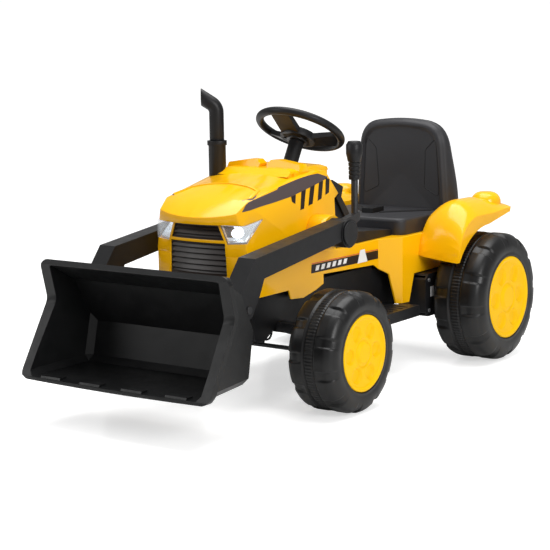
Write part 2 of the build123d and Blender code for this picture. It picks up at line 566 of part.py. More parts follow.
def make_hood():
    outer = hood_solid(0)
    shell = outer - hood_solid(WALL)
    mouth = NOSE_HALF - WALL - 1
    shell -= block(-mouth, mouth, NOSE_Y + 30, HOOD_REAR - WALL, SEAM_Z - 1, SEAM_Z + WALL)
    # raised intake roof over the back of the hood, on two posts, and the column's boss
    roof = slab_yz([(38, 477), (62, 491), (192, 493), (196, 480), (50, 482)], -99, 99)
    roof &= slab_xz([(-99, 470), (-94, 487), (-78, 491), (0, 494), (78, 491), (94, 487), (99, 470)], 0, 220)
    # two raised intake lobes with a gap between them
    lobe = slab_xz([(-98, 484), (-94, 499), (-36, 508), (-18, 507), (-10, 498), (-16, 484)], 82, 118)
    lobe &= slab_yz([(82, 484), (90, 510), (110, 510), (118, 484)], -99, 0)
    roof += both(lobe)
    for end in (-1, 1):
        roof += block(end * 78, end * 94, 46, 62, 466, 482)
        roof += block(end * 80, end * 97, 62, 190, 470, 484)
    roof += block(-12, 12, 64, 100, 470, 490)
    roof += on_axis(BOSS_DOWN, Cylinder(BOSS_OUT, 50))
    roof -= hood_solid(WALL / 2)
    shell += roof
    # raised rib, arched across the front of the hood
    arch = [(-104, -98), (-90, -52), (-60, -41), (0, -34), (60, -41), (90, -52), (104, -98)]
    band = slab_xy(arch + [(x * 0.94, y - 6) for x, y in reversed(arch)], 430, 500)
    shell += band & (hood_solid(-RIB_UP) - hood_solid(WALL / 2))
    shell -= on_axis(140, Pos(0, 0, 40) * Cylinder(COLUMN_R + 0.5, 200))
    for side in (lamp_prism(1.0, 110, 215), other_side(lamp_prism(1.0, 110, 215))):
        shell -= side
    for outline in (UPPER_GRILLE, LOWER_GRILLE):
        shell -= slab_xz(outline, -220, -110)
    return outer, shell


def dash(x, shape):
    """Stand a shape on the top of the console's panel, square to it."""
    run, rise = DASH_B[0] - DASH_A[0], DASH_B[1] - DASH_A[1]
    length = sqrt(run ** 2 + rise ** 2)
    mid = Vector(x, (DASH_A[0] + DASH_B[0]) / 2, (DASH_A[1] + DASH_B[1]) / 2)
    return Plane(origin=mid, x_dir=(1, 0, 0), z_dir=(0, -rise / length, run / length)) * shape


def make_console():
    """Black moulding between the hood and the seat, with the switches in its panel."""
    back = HOOD_REAR + SEAT_GAP
    form = [(back, DECK_Z), (back, 414), (208.5, 425), (184.5, 456), DASH_A, DASH_B, (228, 414), (262, 368),
            (292, 332), (SEAT_FRONT - 4, 320), (SEAT_FRONT - 4, DECK_Z)]
    w = WALL - 1
    hollow = [(back + w, DECK_Z - 1), (back + w, 412), (213, 425), (196, 447), (199, 452), (233, 437), (224, 414), (258, 366),
              (290, 329), (SEAT_FRONT - 4 - w, 317), (SEAT_FRONT - 4 - w, DECK_Z - 1)]
    tub = slab_yz(form, -CONSOLE_HALF, CONSOLE_HALF)
    tub -= slab_yz(hollow, -CONSOLE_HALF + w, CONSOLE_HALF - w)
    for end in (-1, 1):
        cheek = slab_yz([(200, 418), (214, 426), (270, 356), (256, 344)],
                        end * (CONSOLE_HALF - 6), end * (CONSOLE_HALF + 6))
        tub += cheek - hood_solid(-SEAT_GAP)
    tub -= on_axis(BOSS_DOWN, Cylinder(BOSS_OUT + SEAT_GAP, 52))
    tub -= on_axis(BOSS_DOWN, Cylinder(COLUMN_R + SEAT_GAP, 200))
    tub -= dash(START_X, Cylinder(START_R + PLAY, 30))
    tub -= dash(SWITCH_X, Box(SWITCH_W + 2 * PLAY, SWITCH_L + 2 * PLAY, 30))
    # bearing ears under the panel for the rocker switch
    for end in (-1, 1):
        x = SWITCH_X + end * (SWITCH_W / 2 + PLAY + 2)
        ear = dash(x, Pos(0, 0, -8) * Box(4, 10, 14))
        tub += ear & slab_yz(form, -CONSOLE_HALF, CONSOLE_HALF)
        tub -= dash(x, Pos(0, 0, SWITCH_AXIS) * Rot(0, 90, 0) * Cylinder(SWITCH_PIN_R + RUN, 10))
    save("console", tub)

    cap = Pos(0, 0, 2 - START_DEEP / 2) * Cylinder(START_R, START_DEEP)
    cap += Pos(0, 0, 2 - START_DEEP + 1) * Cylinder(START_R + 3, 2)
    save("start_button", dash(START_X, cap))
    outline = make_face(Polyline((-SWITCH_L / 2 + 1, 5), (0, 1), (SWITCH_L / 2 - 1, 5), (SWITCH_L / 2 - 3, -6),
                                 (5, -10), (-5, -10), (-SWITCH_L / 2 + 3, -6), close=True))
    rocker = extrude(Plane(origin=(-SWITCH_W / 2, 0, 0), x_dir=(0, 1, 0), z_dir=(1, 0, 0)) * outline, SWITCH_W)
    rocker += Pos(0, 0, SWITCH_AXIS) * Rot(0, 90, 0) * Cylinder(SWITCH_PIN_R, SWITCH_W + 2 * PLAY + 7)
    save("direction_switch", dash(SWITCH_X, rocker))


def lower_solid(inset):
    """Side profile of the lower body, cut from its plan."""
    i = inset
    side = [(-260, 240), (8, 240), (16, 220), (62, 216), (110, 226), (141, 236), (141, 257),
            (346, 249), (391, 223), (407, 152), (453, 150), (476, 214), (702 - i, 214), (702 - i, DECK_Z - i),
            (HOOD_REAR, DECK_Z - i), (HOOD_REAR, SEAM_Z), (-260, SEAM_Z)]
    x, corner, front = plan_outline(i)
    wide = SILL_HALF - i
    plan = ThreePointArc((-x, corner), (0, front), (x, corner))
    plan += Polyline((x, corner), (x, 366 + i / 2), (wide, 422 + i / 2), (wide, 702 - i), (-wide, 702 - i),
                     (-wide, 422 + i / 2), (-x, 366 + i / 2), (-x, corner))
    return extrude(Plane.XY.offset(100) * make_face(plan), 260) & slab_yz(side, -200, 200)


def make_lower_body():
    outer = lower_solid(0)
    inside = lower_solid(WALL)
    inside += block(-NOSE_HALF + WALL, NOSE_HALF - WALL, -120, HOOD_REAR, 200, SEAM_Z + 1)
    shell = outer - inside
    shell -= block(-NOSE_HALF + WALL, NOSE_HALF - WALL, -120, 380, 100, 262)
    shell -= block(-SILL_HALF + WALL, SILL_HALF - WALL, 425, 702 - WALL, 100, DECK_Z - WALL)
    shell -= slab_xz(LOWER_GRILLE, -220, -110)
    shell -= block(-CHASSIS_HALF - 1, CHASSIS_HALF + 1, -120, CHASSIS_REAR + 1, 100, CHASSIS_TOP + 1)
    shell -= block(-NOSE_HALF + 14, NOSE_HALF - 14, HOOD_REAR - 30, 430, DECK_Z - WALL - 1, DECK_Z + 1)
    return shell


def make_lamps():
    for name, scale, layer in (("lens", 0.985, nose_prism(0.4, 340, 420, 60, 0) - nose_prism(3.4, 339, 421, 60, 0)),
                               ("reflector", 0.94, None)):
        if name == "lens":
            piece = lamp_prism(scale, 110, 215) & layer
        else:
            piece = lamp_prism(scale, 112, 215) & nose_prism(6.5, 340, 420, 60)
            piece -= lamp_prism(0.84, 118, 215)
            turn = radians(LAMP_TURN)
            out = Vector(sin(turn), -cos(turn), 0)
            mid = Vector(cos(turn), sin(turn), 0) * (-14.0) + Vector(0, 0, 374)
            lamp = Plane(origin=out * 117 + mid, z_dir=out) * (Pos(0, 0, 6) * Cylinder(9, 12))
            piece += lamp & nose_prism(6.5, 340, 420, 60)
            for outline in (UPPER_GRILLE, LOWER_GRILLE):
                piece -= slab_xz(outline, -220, -90)
        save(f"headlight_{name}_left", piece)
        save(f"headlight_{name}_right", other_side(piece))


def fender_profile(x, front_y, top, tail, low):
    """Section of the mudguard: a rounded front that runs into a nearly flat top."""
    start, crest = (front_y, low), (front_y + FENDER_NOSE, top)
    nose = Bezier(start, (front_y, low + (top - low) * 0.62), (front_y + FENDER_NOSE * 0.45, top), crest)
    rest = Polyline(crest, (WHEELBASE + 20, top - 1), tail, (tail[0] - 4, tail[1] - 14), (WHEELBASE, 200),
                    (WHEELBASE, low), start)
    plane = Plane(origin=(x, 0, 0), x_dir=(0, 1, 0), z_dir=(1, 0, 0))
    return plane * make_face(nose + rest)


def fender_form(i):
    """Mudguard outside (i = 0) or inside (i = wall), over the rear wheel."""
    y = WHEELBASE
    ribs = [fender_profile(SILL_HALF + i, y - 137 + i, 352 - i, (y + 129, 352 - i), 216),
            fender_profile(215, y - 140 + i, 379 - i, (y + 129, 356 - i), 232),
            fender_profile(FENDER_HALF - i, y - 142 + i, 345 - i, (y + 110, 350 - i), 246)]
    return loft(ribs)


def make_fender():
    form = fender_form(0) - fender_form(WALL)
    form -= rod_x(ARCH_R, SILL_HALF - 1, FENDER_HALF + 1, WHEELBASE, REAR_R)
    under = [(WHEELBASE, 100), (WHEELBASE, REAR_R + ARCH_R), (WHEELBASE + 100, 338), (800, 345), (800, 100)]
    form -= slab_yz(under, SILL_HALF - 1, FENDER_HALF + 1)
    form = sorted(form.solids(), key=lambda s: s.volume)[-1]
    dome = rod_z(HUMP_R, HUMP_AT[0], HUMP_AT[1], 340, HUMP_TOP)
    dome = fillet(dome.edges().sort_by(Axis.Z)[-1], HUMP_R * 0.7)
    core = rod_z(HUMP_R - WALL, HUMP_AT[0], HUMP_AT[1], 330, HUMP_TOP - WALL)
    core = fillet(core.edges().sort_by(Axis.Z)[-1], HUMP_R * 0.7 - WALL)
    return form + (dome - core - fender_form(WALL / 2)) - (core & fender_form(-1))


# ================================================================ inner and lower parts
def make_chassis():
    """Open trough from the front axle to the rear one, with ribs across it."""
    z0, w = CHASSIS_Z, 5.0
    half = CHASSIS_HALF
    front, rear, top = CHASSIS_FRONT, CHASSIS_REAR, CHASSIS_TOP - 8
    beam_low = FRONT_R + BEAM_RISE
    beam_top = beam_low + BEAM_T
    step = beam_low + 4
    side = [(front, z0 + 4), (-58, z0), (-44, z0 + 8), (-26, step), (-BEAM_HALF, step), (-BEAM_HALF, beam_top),
            (BEAM_HALF, beam_top), (BEAM_HALF, step), (26, z0 + 10), (40, z0), (rear, z0), (rear, top), (front, top)]
    trough = [(front + w, z0 + 9), (-60, z0 + 6), (-46, z0 + 14), (-28, step + 6), (-BEAM_HALF - 6, beam_top + w),
              (BEAM_HALF + 6, beam_top + w), (28, z0 + 20), (42, z0 + w), (rear - w, z0 + w), (rear - w, top + 1),
              (front + w, top + 1)]
    frame = slab_yz(side, -half, half) - slab_yz(trough, -half + w, half - w)
    for y in (160, 420, 560):
        frame += block(-half + w, half - w, y, y + w, z0 + w, top - 22)
    for end in (-1, 1):
        frame += block(end * half, end * (half - w), 141 + WALL, 366, top, CHASSIS_TOP)
        frame -= rod_x(MOTOR_R + PLAY, end * (half - w - 1), end * (half + 1), *MOTOR_AT)
    slot = TIE_SWING + TIE_FORK_HALF + 2
    frame -= block(-slot, slot, -BEAM_HALF, STEER_ARM + 15, z0 - 1, beam_top + w + 1)
    frame -= rod_x(REAR_ROD_R, -half - 1, half + 1, WHEELBASE, REAR_R)
    frame -= rod_z(WIRE_HOLE_R, WIRE_X, WIRE_FRONT, z0, beam_top + w + 8)
    frame -= rod_z(WIRE_R + PLAY, WIRE_X, WIRE_REAR, z0, beam_top + w + 8)
    return frame


def make_drive():
    """Rear axle with its nuts, a gearbox and motor for each rear wheel, and the battery."""
    z = REAR_R
    rod_end = REAR_FACE - HUB_DEEP + 11
    save("rear_axle", rod_x(REAR_ROD_R, -rod_end, rod_end, WHEELBASE, z))
    save("rear_axle_nuts", both(axle_nut(REAR_FACE - HUB_DEEP + PLAY, REAR_ROD_R, WHEELBASE, z)))
    x0, x1, y0, y1, z0, z1 = GEARBOX
    case = block(x0, x1, y0, y1, z0, z1)
    case = chamfer(case.edges().filter_by(Axis.X), 12)
    w = WALL
    case -= block(x0 + w, x1 - w, y0 + w, y1 - w, z0 + w, z1 - w)
    case -= rod_x(REAR_ROD_R, x0 - 1, x1 + 1, WHEELBASE, z)
    case -= rod_x(5, x0 - 1, x0 + w + 1, *MOTOR_AT)
    screws = None
    for y in (y0 + 16, y0 + 78):
        for height in (z0 + 14, z1 - 14):
            case -= rod_x(2, x1 - w - 1, x1 + 1, y, height)
            screw = rod_x(2, x1 - 10, x1, y, height) + rod_x(4.5, x1, x1 + 2.5, y, height)
            screws = screw if screws is None else screws + screw
    save("gearbox_left", case)
    save("gearbox_right", other_side(case))
    motor = rod_x(MOTOR_R, MOTOR_IN, x0 - 1, *MOTOR_AT) + rod_x(4, x0 - 1, x0 + 16, *MOTOR_AT)
    motor += rod_x(6, MOTOR_IN - 3, MOTOR_IN, *MOTOR_AT)
    save("drive_motors", both(motor))
    half, front, rear, tall = BATTERY
    floor = CHASSIS_Z + 5
    pack = block(-half, half, front, rear, floor, floor + tall)
    pack = chamfer(pack.edges().filter_by(Axis.Z), 4)
    for y in (front + 18, front + 40):
        pack += block(-4, 4, y - 3, y + 3, floor + tall, floor + tall + 4)
    save("battery", pack)
    return screws


def make_wiring():
    """Wire that hangs in a loop under the front of the chassis, held where it enters the floor."""
    run = WIRE_REAR - WIRE_FRONT
    bend = 0.45 * run / tan(radians(45))
    route = FilletPolyline((WIRE_X, WIRE_FRONT, 174), (WIRE_X, WIRE_FRONT, WIRE_LOW), (WIRE_X, WIRE_REAR, WIRE_LOW),
                           (WIRE_X, WIRE_REAR, 170), radius=bend)
    wire = sweep(Plane(origin=(WIRE_X, WIRE_FRONT, 174), z_dir=(0, 0, -1)) * Circle(WIRE_R), route)
    ideal = pi * WIRE_R ** 2 * route.length
    print(f"wire: bends of {bend:.1f} mm, length {route.length:.1f} mm, "
          f"volume {wire.volume / ideal:.4f} of section x length")
    save("wiring_loop", wire)


def make_brackets(hood_form, body_form):
    """Round seats on the body sides that carry the loader's hinge pins."""
    y, z = ARM_PIVOT
    seat = rod_x(BRACKET_R, BRACKET_IN, BRACKET_OUT, y, z) - hood_form - body_form
    seat -= rod_x(ARM_PIN_R + RUN, BRACKET_OUT - 35, BRACKET_OUT + 1, y, z)
    save("pivot_bracket_left", seat)
    save("pivot_bracket_right", other_side(seat))


def make_footrest():
    y0, y1 = FOOT_FRONT, FOOT_REAR
    inner = CHASSIS_HALF
    rest = block(inner, FOOT_HALF, y0, y1, FOOT_Z - FOOT_T, FOOT_Z)
    rest -= block(inner - 1, FOOT_HALF - 4, y0 + 4, y1 - 4, FOOT_Z - FOOT_T - 1, FOOT_Z - 4)
    rest += block(inner, inner + 6, y0, y1, FOOT_Z - FOOT_T, FOOT_Z)
    rest -= block(inner - 1, SILL_HALF + 1, 404, 456, FOOT_Z - 3, FOOT_Z + 1)
    for i in range(9):
        y = y0 + 26 + i * 22
        rest -= block(inner + 20, FOOT_HALF - 10, y, y + 8, FOOT_Z - 1.5, FOOT_Z + 1)
    return rest


PEDAL_HINGE = (246.0, 164.0)   # y, z of the pedal's hinge
PEDAL_X = (-182.0, -126.0)


def make_pedal(rest_right):
    hy, hz = PEDAL_HINGE
    x0, x1 = PEDAL_X
    pedal = slab_yz([(hy + 4, hz - 5), (hy + 4, hz + 6), (hy - 52, hz + 34), (hy - 56, hz + 27)], x0, x1)
    pedal += rod_x(6, x0, x1, hy, hz)
    for i in range(4):
        y = hy - 12 - i * 10
        z = hz + 6 + (i * 10 + 16) * 0.5
        pedal += block(x0 + 6, x1 - 6, y - 2, y + 2, z - 5, z + 2)
    pedal += rod_x(3, x0 - 8, x1 + 8, hy, hz)
    save("accelerator_pedal", pedal)
    for a, b in ((x0 - 8, x0 - PLAY - 1), (x1 + PLAY + 1, x1 + 8)):
        lug = slab_yz([(hy - 9, FOOT_Z), (hy - 7, hz + 6), (hy + 7, hz + 6), (hy + 9, FOOT_Z)], a, b)
        rest_right += lug - rod_x(3 + RUN, a - 1, b + 1, hy, hz)
    return rest_right


def make_seat():
    w = WALL
    base = block(-SEAT_HALF, SEAT_HALF, SEAT_FRONT, BACK_FRONT - SEAT_GAP, DECK_Z, DECK_Z + CUSHION_T)
    base = fillet(base.edges().filter_by(Axis.Z), 24)
    base = fillet(base.faces().sort_by(Axis.Z)[-1].edges(), 9)
    room = SEAT_HALF - w - 6
    base -= block(-room, room, SEAT_FRONT + w + 6, BACK_FRONT - w - 8, DECK_Z - 1, DECK_Z + CUSHION_T - w)
    save("seat_base", base)

    half, foot = BACK_HALF, BACK_HALF + BACK_FLARE
    top = BACK_TOP
    shoulder = make_face(
        Polyline((-half, top - 46), (-foot + 4, DECK_Z + 84), (-foot, DECK_Z), (foot, DECK_Z), (foot - 4, DECK_Z + 84),
                 (half, top - 46))
        + ThreePointArc((half, top - 46), (half - 13, top - 16), (half - 44, top - 5))
        + ThreePointArc((half - 44, top - 5), (0, top), (-half + 44, top - 5))
        + ThreePointArc((-half + 44, top - 5), (-half + 13, top - 16), (-half, top - 46)))
    plane = Plane(origin=(0, BACK_FRONT + BACK_DEEP, 0), x_dir=(1, 0, 0), z_dir=(0, -1, 0))
    back = extrude(plane * shoulder, BACK_DEEP)
    rear = BACK_FRONT + BACK_DEEP
    side = [(BACK_FRONT, DECK_Z), (rear, DECK_Z), (rear, DECK_Z + 60), (BACK_FRONT + BACK_THIN, top + 1),
            (BACK_FRONT, top + 1)]
    back &= slab_yz(side, -foot - 1, foot + 1)
    core = [(BACK_FRONT + w, DECK_Z + w), (rear - w, DECK_Z + w), (rear - w, DECK_Z + 58),
            (BACK_FRONT + BACK_THIN - w + 6, top - 50), (BACK_FRONT + w, top - 50)]
    back -= slab_yz(core, -half + w, half - w)
    save("seat_back", back)

    cushion = DECK_Z + CUSHION_T
    strap_t = 1.6
    left = slab_xy([(SEAT_HALF - 22, 640), (SEAT_HALF - 22, 612), (24, 520), (16, 544)],
                   cushion, cushion + strap_t)
    right = slab_xy([(-SEAT_HALF + 22, 640), (-SEAT_HALF + 22, 612), (-24, 520), (-16, 544)],
                    cushion, cushion + strap_t)
    save("seat_belt_left", left)
    save("seat_belt_right", right)
    save("belt_buckle", block(-15.5, 15.5, 505, 556, cushion, cushion + 12))


def make_furniture(hood_forms):
    x, y = EXHAUST
    base = rod_z(BASE_R, x, y, 462, BASE_TOP) + rod_z(BASE_R + 2.5, x, y, BASE_TOP - 10, BASE_TOP)
    base -= rod_z(BASE_R - 4, x, y, 430, BASE_TOP + 1)
    for form in hood_forms:
        base -= form
    base = sorted(base.solids(), key=lambda s: s.volume)[-1]
    save("exhaust_base", base)
    turn = radians(EXHAUST_TURN)
    over = 2 * EXHAUST_REACH
    tip = (x - over * sin(turn), y - over * cos(turn), EXHAUST_BEND_Z + over * tan(radians(EXHAUST_SLOPE)))
    path = FilletPolyline((x, y, BASE_TOP), (x, y, EXHAUST_BEND_Z), tip, radius=24)
    pipe = sweep(Plane(origin=(x, y, BASE_TOP), z_dir=(0, 0, 1)) * Circle(EXHAUST_R), path)
    pipe -= sweep(Plane(origin=(x, y, BASE_TOP), z_dir=(0, 0, 1)) * Circle(EXHAUST_R - 3.5), path)
    cutter = block(-60, 60, -200, -EXHAUST_REACH, 560, 760)
    pipe -= Pos(x, y, 0) * Rot(0, 0, -EXHAUST_TURN) * cutter
    save("exhaust_pipe", pipe)


hood_outer, hood_shell = make_hood()
save("hood", hood_shell)
save("lower_body", make_lower_body())
save("upper_grille", grille(UPPER_GRILLE, 3))
save("lower_grille", grille(LOWER_GRILLE, 6))
make_lamps()
make_console()
fender = make_fender()
save("fender_left", fender)
save("fender_right", other_side(fender))
make_wheels()
make_front_axle()
make_steering()
make_arms()
make_bucket()
make_brackets(hood_outer, lower_solid(0))
save("chassis_frame", make_chassis())
save("body_screws", both(make_drive()))
make_wiring()
rest = make_footrest()
save("footrest_left", rest)
save("footrest_right", make_pedal(other_side(rest)))
make_seat()
make_furniture((hood_outer, hood_shell))
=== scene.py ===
# %% [markdown]
# # A child's ride-on digger, piece by piece
# The real toy is a battery tractor with a loader bucket on two arms. Nearly all of it is
# injection-moulded or blow-moulded plastic, so the looks come from three things: the soft edges
# that a mould leaves, the sheen of each plastic, and the shapes pressed into the wheels and seat.
# The exact sizes come from the CAD frame. Each cell below takes one piece or one finish.
# Lengths are in metres. -Y is forwards, +X is the driver's left, +Z is up.

# %% Load the frame
from math import cos, hypot, pi, radians, sin

import bmesh
import bpy
from mathutils import Matrix, Vector
from mathutils.bvhtree import BVHTree


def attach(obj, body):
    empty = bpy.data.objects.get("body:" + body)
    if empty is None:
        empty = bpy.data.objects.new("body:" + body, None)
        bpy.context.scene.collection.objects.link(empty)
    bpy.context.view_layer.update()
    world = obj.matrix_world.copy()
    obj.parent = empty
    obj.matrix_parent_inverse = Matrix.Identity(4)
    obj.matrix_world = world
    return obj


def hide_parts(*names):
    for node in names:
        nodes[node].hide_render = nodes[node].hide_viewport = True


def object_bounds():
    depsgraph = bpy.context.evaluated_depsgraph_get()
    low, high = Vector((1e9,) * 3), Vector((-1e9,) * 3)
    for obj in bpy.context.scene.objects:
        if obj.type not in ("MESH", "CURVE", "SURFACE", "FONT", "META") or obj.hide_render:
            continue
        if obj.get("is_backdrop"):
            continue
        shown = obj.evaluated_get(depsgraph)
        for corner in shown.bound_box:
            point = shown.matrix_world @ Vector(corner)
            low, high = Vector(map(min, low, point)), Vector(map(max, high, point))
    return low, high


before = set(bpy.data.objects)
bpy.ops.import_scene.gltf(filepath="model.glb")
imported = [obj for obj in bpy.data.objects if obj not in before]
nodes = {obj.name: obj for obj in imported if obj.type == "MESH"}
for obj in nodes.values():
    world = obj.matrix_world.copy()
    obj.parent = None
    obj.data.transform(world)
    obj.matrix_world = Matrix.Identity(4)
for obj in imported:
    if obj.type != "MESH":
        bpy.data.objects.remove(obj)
cad_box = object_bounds()
scene = bpy.context.scene
MM = 0.001
AXLE_Y = -0.167            # front axle in the frame
HANDS = (("left", 1), ("right", -1))
print("CAD nodes:", len(nodes))

# %% [markdown]
# ## Looks that several materials share
# Moulded plastic has a fine grain, a colour that drifts a little with wall thickness, and scuffs
# where hands and shoes touch. Each effect is built once as a node group with named inputs, so
# every finish can use it with its own numbers.

# %% Helpers for node trees
def socket(tree, name, kind, way, value=None):
    made = tree.interface.new_socket(name=name, in_out=way, socket_type=kind)
    if value is not None:
        made.default_value = value
    return made


def link(tree, start, end):
    tree.links.new(start, end)


def noise_at(tree, vector, scale_from, detail, rough=0.55):
    node = tree.nodes.new("ShaderNodeTexNoise")
    node.inputs["Detail"].default_value = detail
    node.inputs["Roughness"].default_value = rough
    link(tree, vector, node.inputs["Vector"])
    if hasattr(scale_from, "default_value"):
        link(tree, scale_from, node.inputs["Scale"])
    else:
        node.inputs["Scale"].default_value = scale_from
    return node


# %% Grain group: a height for the bump
def grain_group():
    tree = bpy.data.node_groups.new("mould_grain", "ShaderNodeTree")
    socket(tree, "Scale", "NodeSocketFloat", "INPUT", 900.0)
    socket(tree, "Height", "NodeSocketFloat", "OUTPUT")
    into, out = tree.nodes.new("NodeGroupInput"), tree.nodes.new("NodeGroupOutput")
    place = tree.nodes.new("ShaderNodeTexCoord")
    fine = noise_at(tree, place.outputs["Object"], into.outputs["Scale"], 3.0)
    slow = noise_at(tree, place.outputs["Object"], 14.0, 1.0)
    mix = tree.nodes.new("ShaderNodeMath")
    mix.operation = "MULTIPLY_ADD"
    mix.inputs[1].default_value = 0.35
    link(tree, fine.outputs["Fac"], mix.inputs[0])
    link(tree, slow.outputs["Fac"], mix.inputs[2])
    link(tree, mix.outputs[0], out.inputs["Height"])
    return tree


# %% Handling group: a mask of scuffs and dust
def handling_group():
    tree = bpy.data.node_groups.new("handling", "ShaderNodeTree")
    socket(tree, "Scale", "NodeSocketFloat", "INPUT", 22.0)
    socket(tree, "Amount", "NodeSocketFloat", "INPUT", 0.5)
    socket(tree, "Mask", "NodeSocketFloat", "OUTPUT")
    into, out = tree.nodes.new("NodeGroupInput"), tree.nodes.new("NodeGroupOutput")
    place = tree.nodes.new("ShaderNodeTexCoord")
    patches = noise_at(tree, place.outputs["Object"], into.outputs["Scale"], 6.0, 0.65)
    spread = tree.nodes.new("ShaderNodeMapRange")
    spread.inputs["From Min"].default_value = 0.42
    spread.inputs["From Max"].default_value = 0.72
    link(tree, patches.outputs["Fac"], spread.inputs["Value"])
    weigh = tree.nodes.new("ShaderNodeMath")
    weigh.operation = "MULTIPLY"
    link(tree, spread.outputs["Result"], weigh.inputs[0])
    link(tree, into.outputs["Amount"], weigh.inputs[1])
    link(tree, weigh.outputs[0], out.inputs["Mask"])
    return tree


# %% Colour drift group: two near colours, mixed slowly
def drift_group():
    tree = bpy.data.node_groups.new("colour_drift", "ShaderNodeTree")
    socket(tree, "Colour", "NodeSocketColor", "INPUT", (1, 1, 1, 1))
    socket(tree, "Second", "NodeSocketColor", "INPUT", (1, 1, 1, 1))
    socket(tree, "Dusty", "NodeSocketColor", "INPUT", (1, 1, 1, 1))
    socket(tree, "Dust", "NodeSocketFloat", "INPUT", 0.0)
    socket(tree, "Colour", "NodeSocketColor", "OUTPUT")
    into, out = tree.nodes.new("NodeGroupInput"), tree.nodes.new("NodeGroupOutput")
    place = tree.nodes.new("ShaderNodeTexCoord")
    slow = noise_at(tree, place.outputs["Object"], 5.0, 2.0)
    first = tree.nodes.new("ShaderNodeMix")
    first.data_type = "RGBA"
    link(tree, slow.outputs["Fac"], first.inputs["Factor"])
    link(tree, into.outputs["Colour"], first.inputs["A"])
    link(tree, into.outputs["Second"], first.inputs["B"])
    last = tree.nodes.new("ShaderNodeMix")
    last.data_type = "RGBA"
    link(tree, into.outputs["Dust"], last.inputs["Factor"])
    link(tree, first.outputs["Result"], last.inputs["A"])
    link(tree, into.outputs["Dusty"], last.inputs["B"])
    link(tree, last.outputs["Result"], out.inputs["Colour"])
    return tree


GRAIN, HANDLING, DRIFT = grain_group(), handling_group(), drift_group()
print("shared groups:", [g.name for g in (GRAIN, HANDLING, DRIFT)])

# %% [markdown]
# ## Finishes
# One function makes every plastic, metal and rubber finish of the toy. A gloss panel has little
# grain and a clear shine; the black frame parts are matt with a fine grain; the tyres are blow
# moulded and slightly waxy. The numbers say how rough, how grainy and how scuffed each one is:
# roughness, grain scale, grain depth in millimetres, and how much a scuff adds to the roughness.

# %% One recipe for the finishes
def finish(name, colour, second, rough, grain=900.0, depth=0.02, scuff=0.1, dusty=None, metal=0.0, coat=0.0,
           dust=0.06, scuff_scale=22.0, shine=0.5, glow=0.0):
    material = bpy.data.materials.new(name)
    material.use_nodes = True
    tree = material.node_tree
    shader = tree.nodes["Principled BSDF"]
    shader.inputs["Metallic"].default_value = metal
    shader.inputs["Coat Weight"].default_value = coat
    shader.inputs["Coat Roughness"].default_value = 0.08
    shader.inputs["Specular IOR Level"].default_value = shine
    # A glow above zero paints light into the finish; only the chrome lamp bowls use it.
    shader.inputs["Emission Color"].default_value = (*colour, 1)
    shader.inputs["Emission Strength"].default_value = glow

    scuffs = tree.nodes.new("ShaderNodeGroup")
    scuffs.node_tree = HANDLING
    scuffs.inputs["Scale"].default_value = scuff_scale
    scuffs.inputs["Amount"].default_value = 1.0

    drift = tree.nodes.new("ShaderNodeGroup")
    drift.node_tree = DRIFT
    drift.inputs[0].default_value = (*colour, 1)
    drift.inputs["Second"].default_value = (*second, 1)
    drift.inputs["Dusty"].default_value = (*(dusty or second), 1)
    scaled = tree.nodes.new("ShaderNodeMath")
    scaled.operation = "MULTIPLY"
    scaled.inputs[1].default_value = dust
    link(tree, scuffs.outputs["Mask"], scaled.inputs[0])
    link(tree, scaled.outputs[0], drift.inputs["Dust"])
    link(tree, drift.outputs["Colour"], shader.inputs["Base Color"])

    roughness = tree.nodes.new("ShaderNodeMath")
    roughness.operation = "MULTIPLY_ADD"
    roughness.inputs[1].default_value = scuff
    roughness.inputs[2].default_value = rough
    link(tree, scuffs.outputs["Mask"], roughness.inputs[0])
    link(tree, roughness.outputs[0], shader.inputs["Roughness"])

    grainy = tree.nodes.new("ShaderNodeGroup")
    grainy.node_tree = GRAIN
    grainy.inputs["Scale"].default_value = grain
    bump = tree.nodes.new("ShaderNodeBump")
    bump.inputs["Strength"].default_value = 0.35
    bump.inputs["Distance"].default_value = depth * MM
    link(tree, grainy.outputs["Height"], bump.inputs["Height"])
    link(tree, bump.outputs["Normal"], shader.inputs["Normal"])
    return material


# %% The toy's finishes
YELLOW = finish("panel_yellow", (0.96, 0.47, 0.001), (0.98, 0.50, 0.002), 0.16, 240, 0.04, 0.08,
                (0.92, 0.52, 0.02), shine=0.40)
HUB_YELLOW = finish("hub_yellow", (0.93, 0.52, 0.0), (0.95, 0.55, 0.0), 0.42, 300, 0.05, 0.10,
                    (0.88, 0.55, 0.02), shine=0.14)
BLACK = finish("frame_black", (0.0068, 0.0068, 0.0075), (0.010, 0.010, 0.011), 0.38, 1100, 0.10, 0.14,
               (0.022, 0.021, 0.021), shine=0.27)
BUCKET_BLACK = finish("bucket_black", (0.0045, 0.0047, 0.0050), (0.0065, 0.0067, 0.0071), 0.37, 900, 0.08,
                      0.14, (0.022, 0.022, 0.022), shine=0.30)
SEAT_BLACK = finish("seat_black", (0.017, 0.017, 0.020), (0.022, 0.022, 0.025), 0.46, 1300, 0.14, 0.10,
                    (0.04, 0.04, 0.045), shine=0.42)
TYRE_BLACK = finish("tyre_black", (0.0045, 0.0045, 0.0048), (0.007, 0.007, 0.0073), 0.33, 500, 0.08, 0.16,
                    (0.024, 0.022, 0.020), dust=0.10, shine=0.36)
GRILLE_BLACK = finish("grille_black", (0.016, 0.010, 0.008), (0.021, 0.014, 0.011), 0.34, 700, 0.06, 0.12)
DECAL_GREY = finish("decal_grey", (0.080, 0.060, 0.062), (0.092, 0.070, 0.070), 0.40, 500, 0.02, 0.08,
                    shine=0.3)
DECAL_BLACK = finish("decal_black", (0.014, 0.008, 0.006), (0.018, 0.011, 0.009), 0.36, 500, 0.02, 0.08,
                     shine=0.3)
DECAL_WHITE = finish("decal_white", (0.84, 0.83, 0.80), (0.88, 0.87, 0.85), 0.34, 500, 0.02, 0.08)
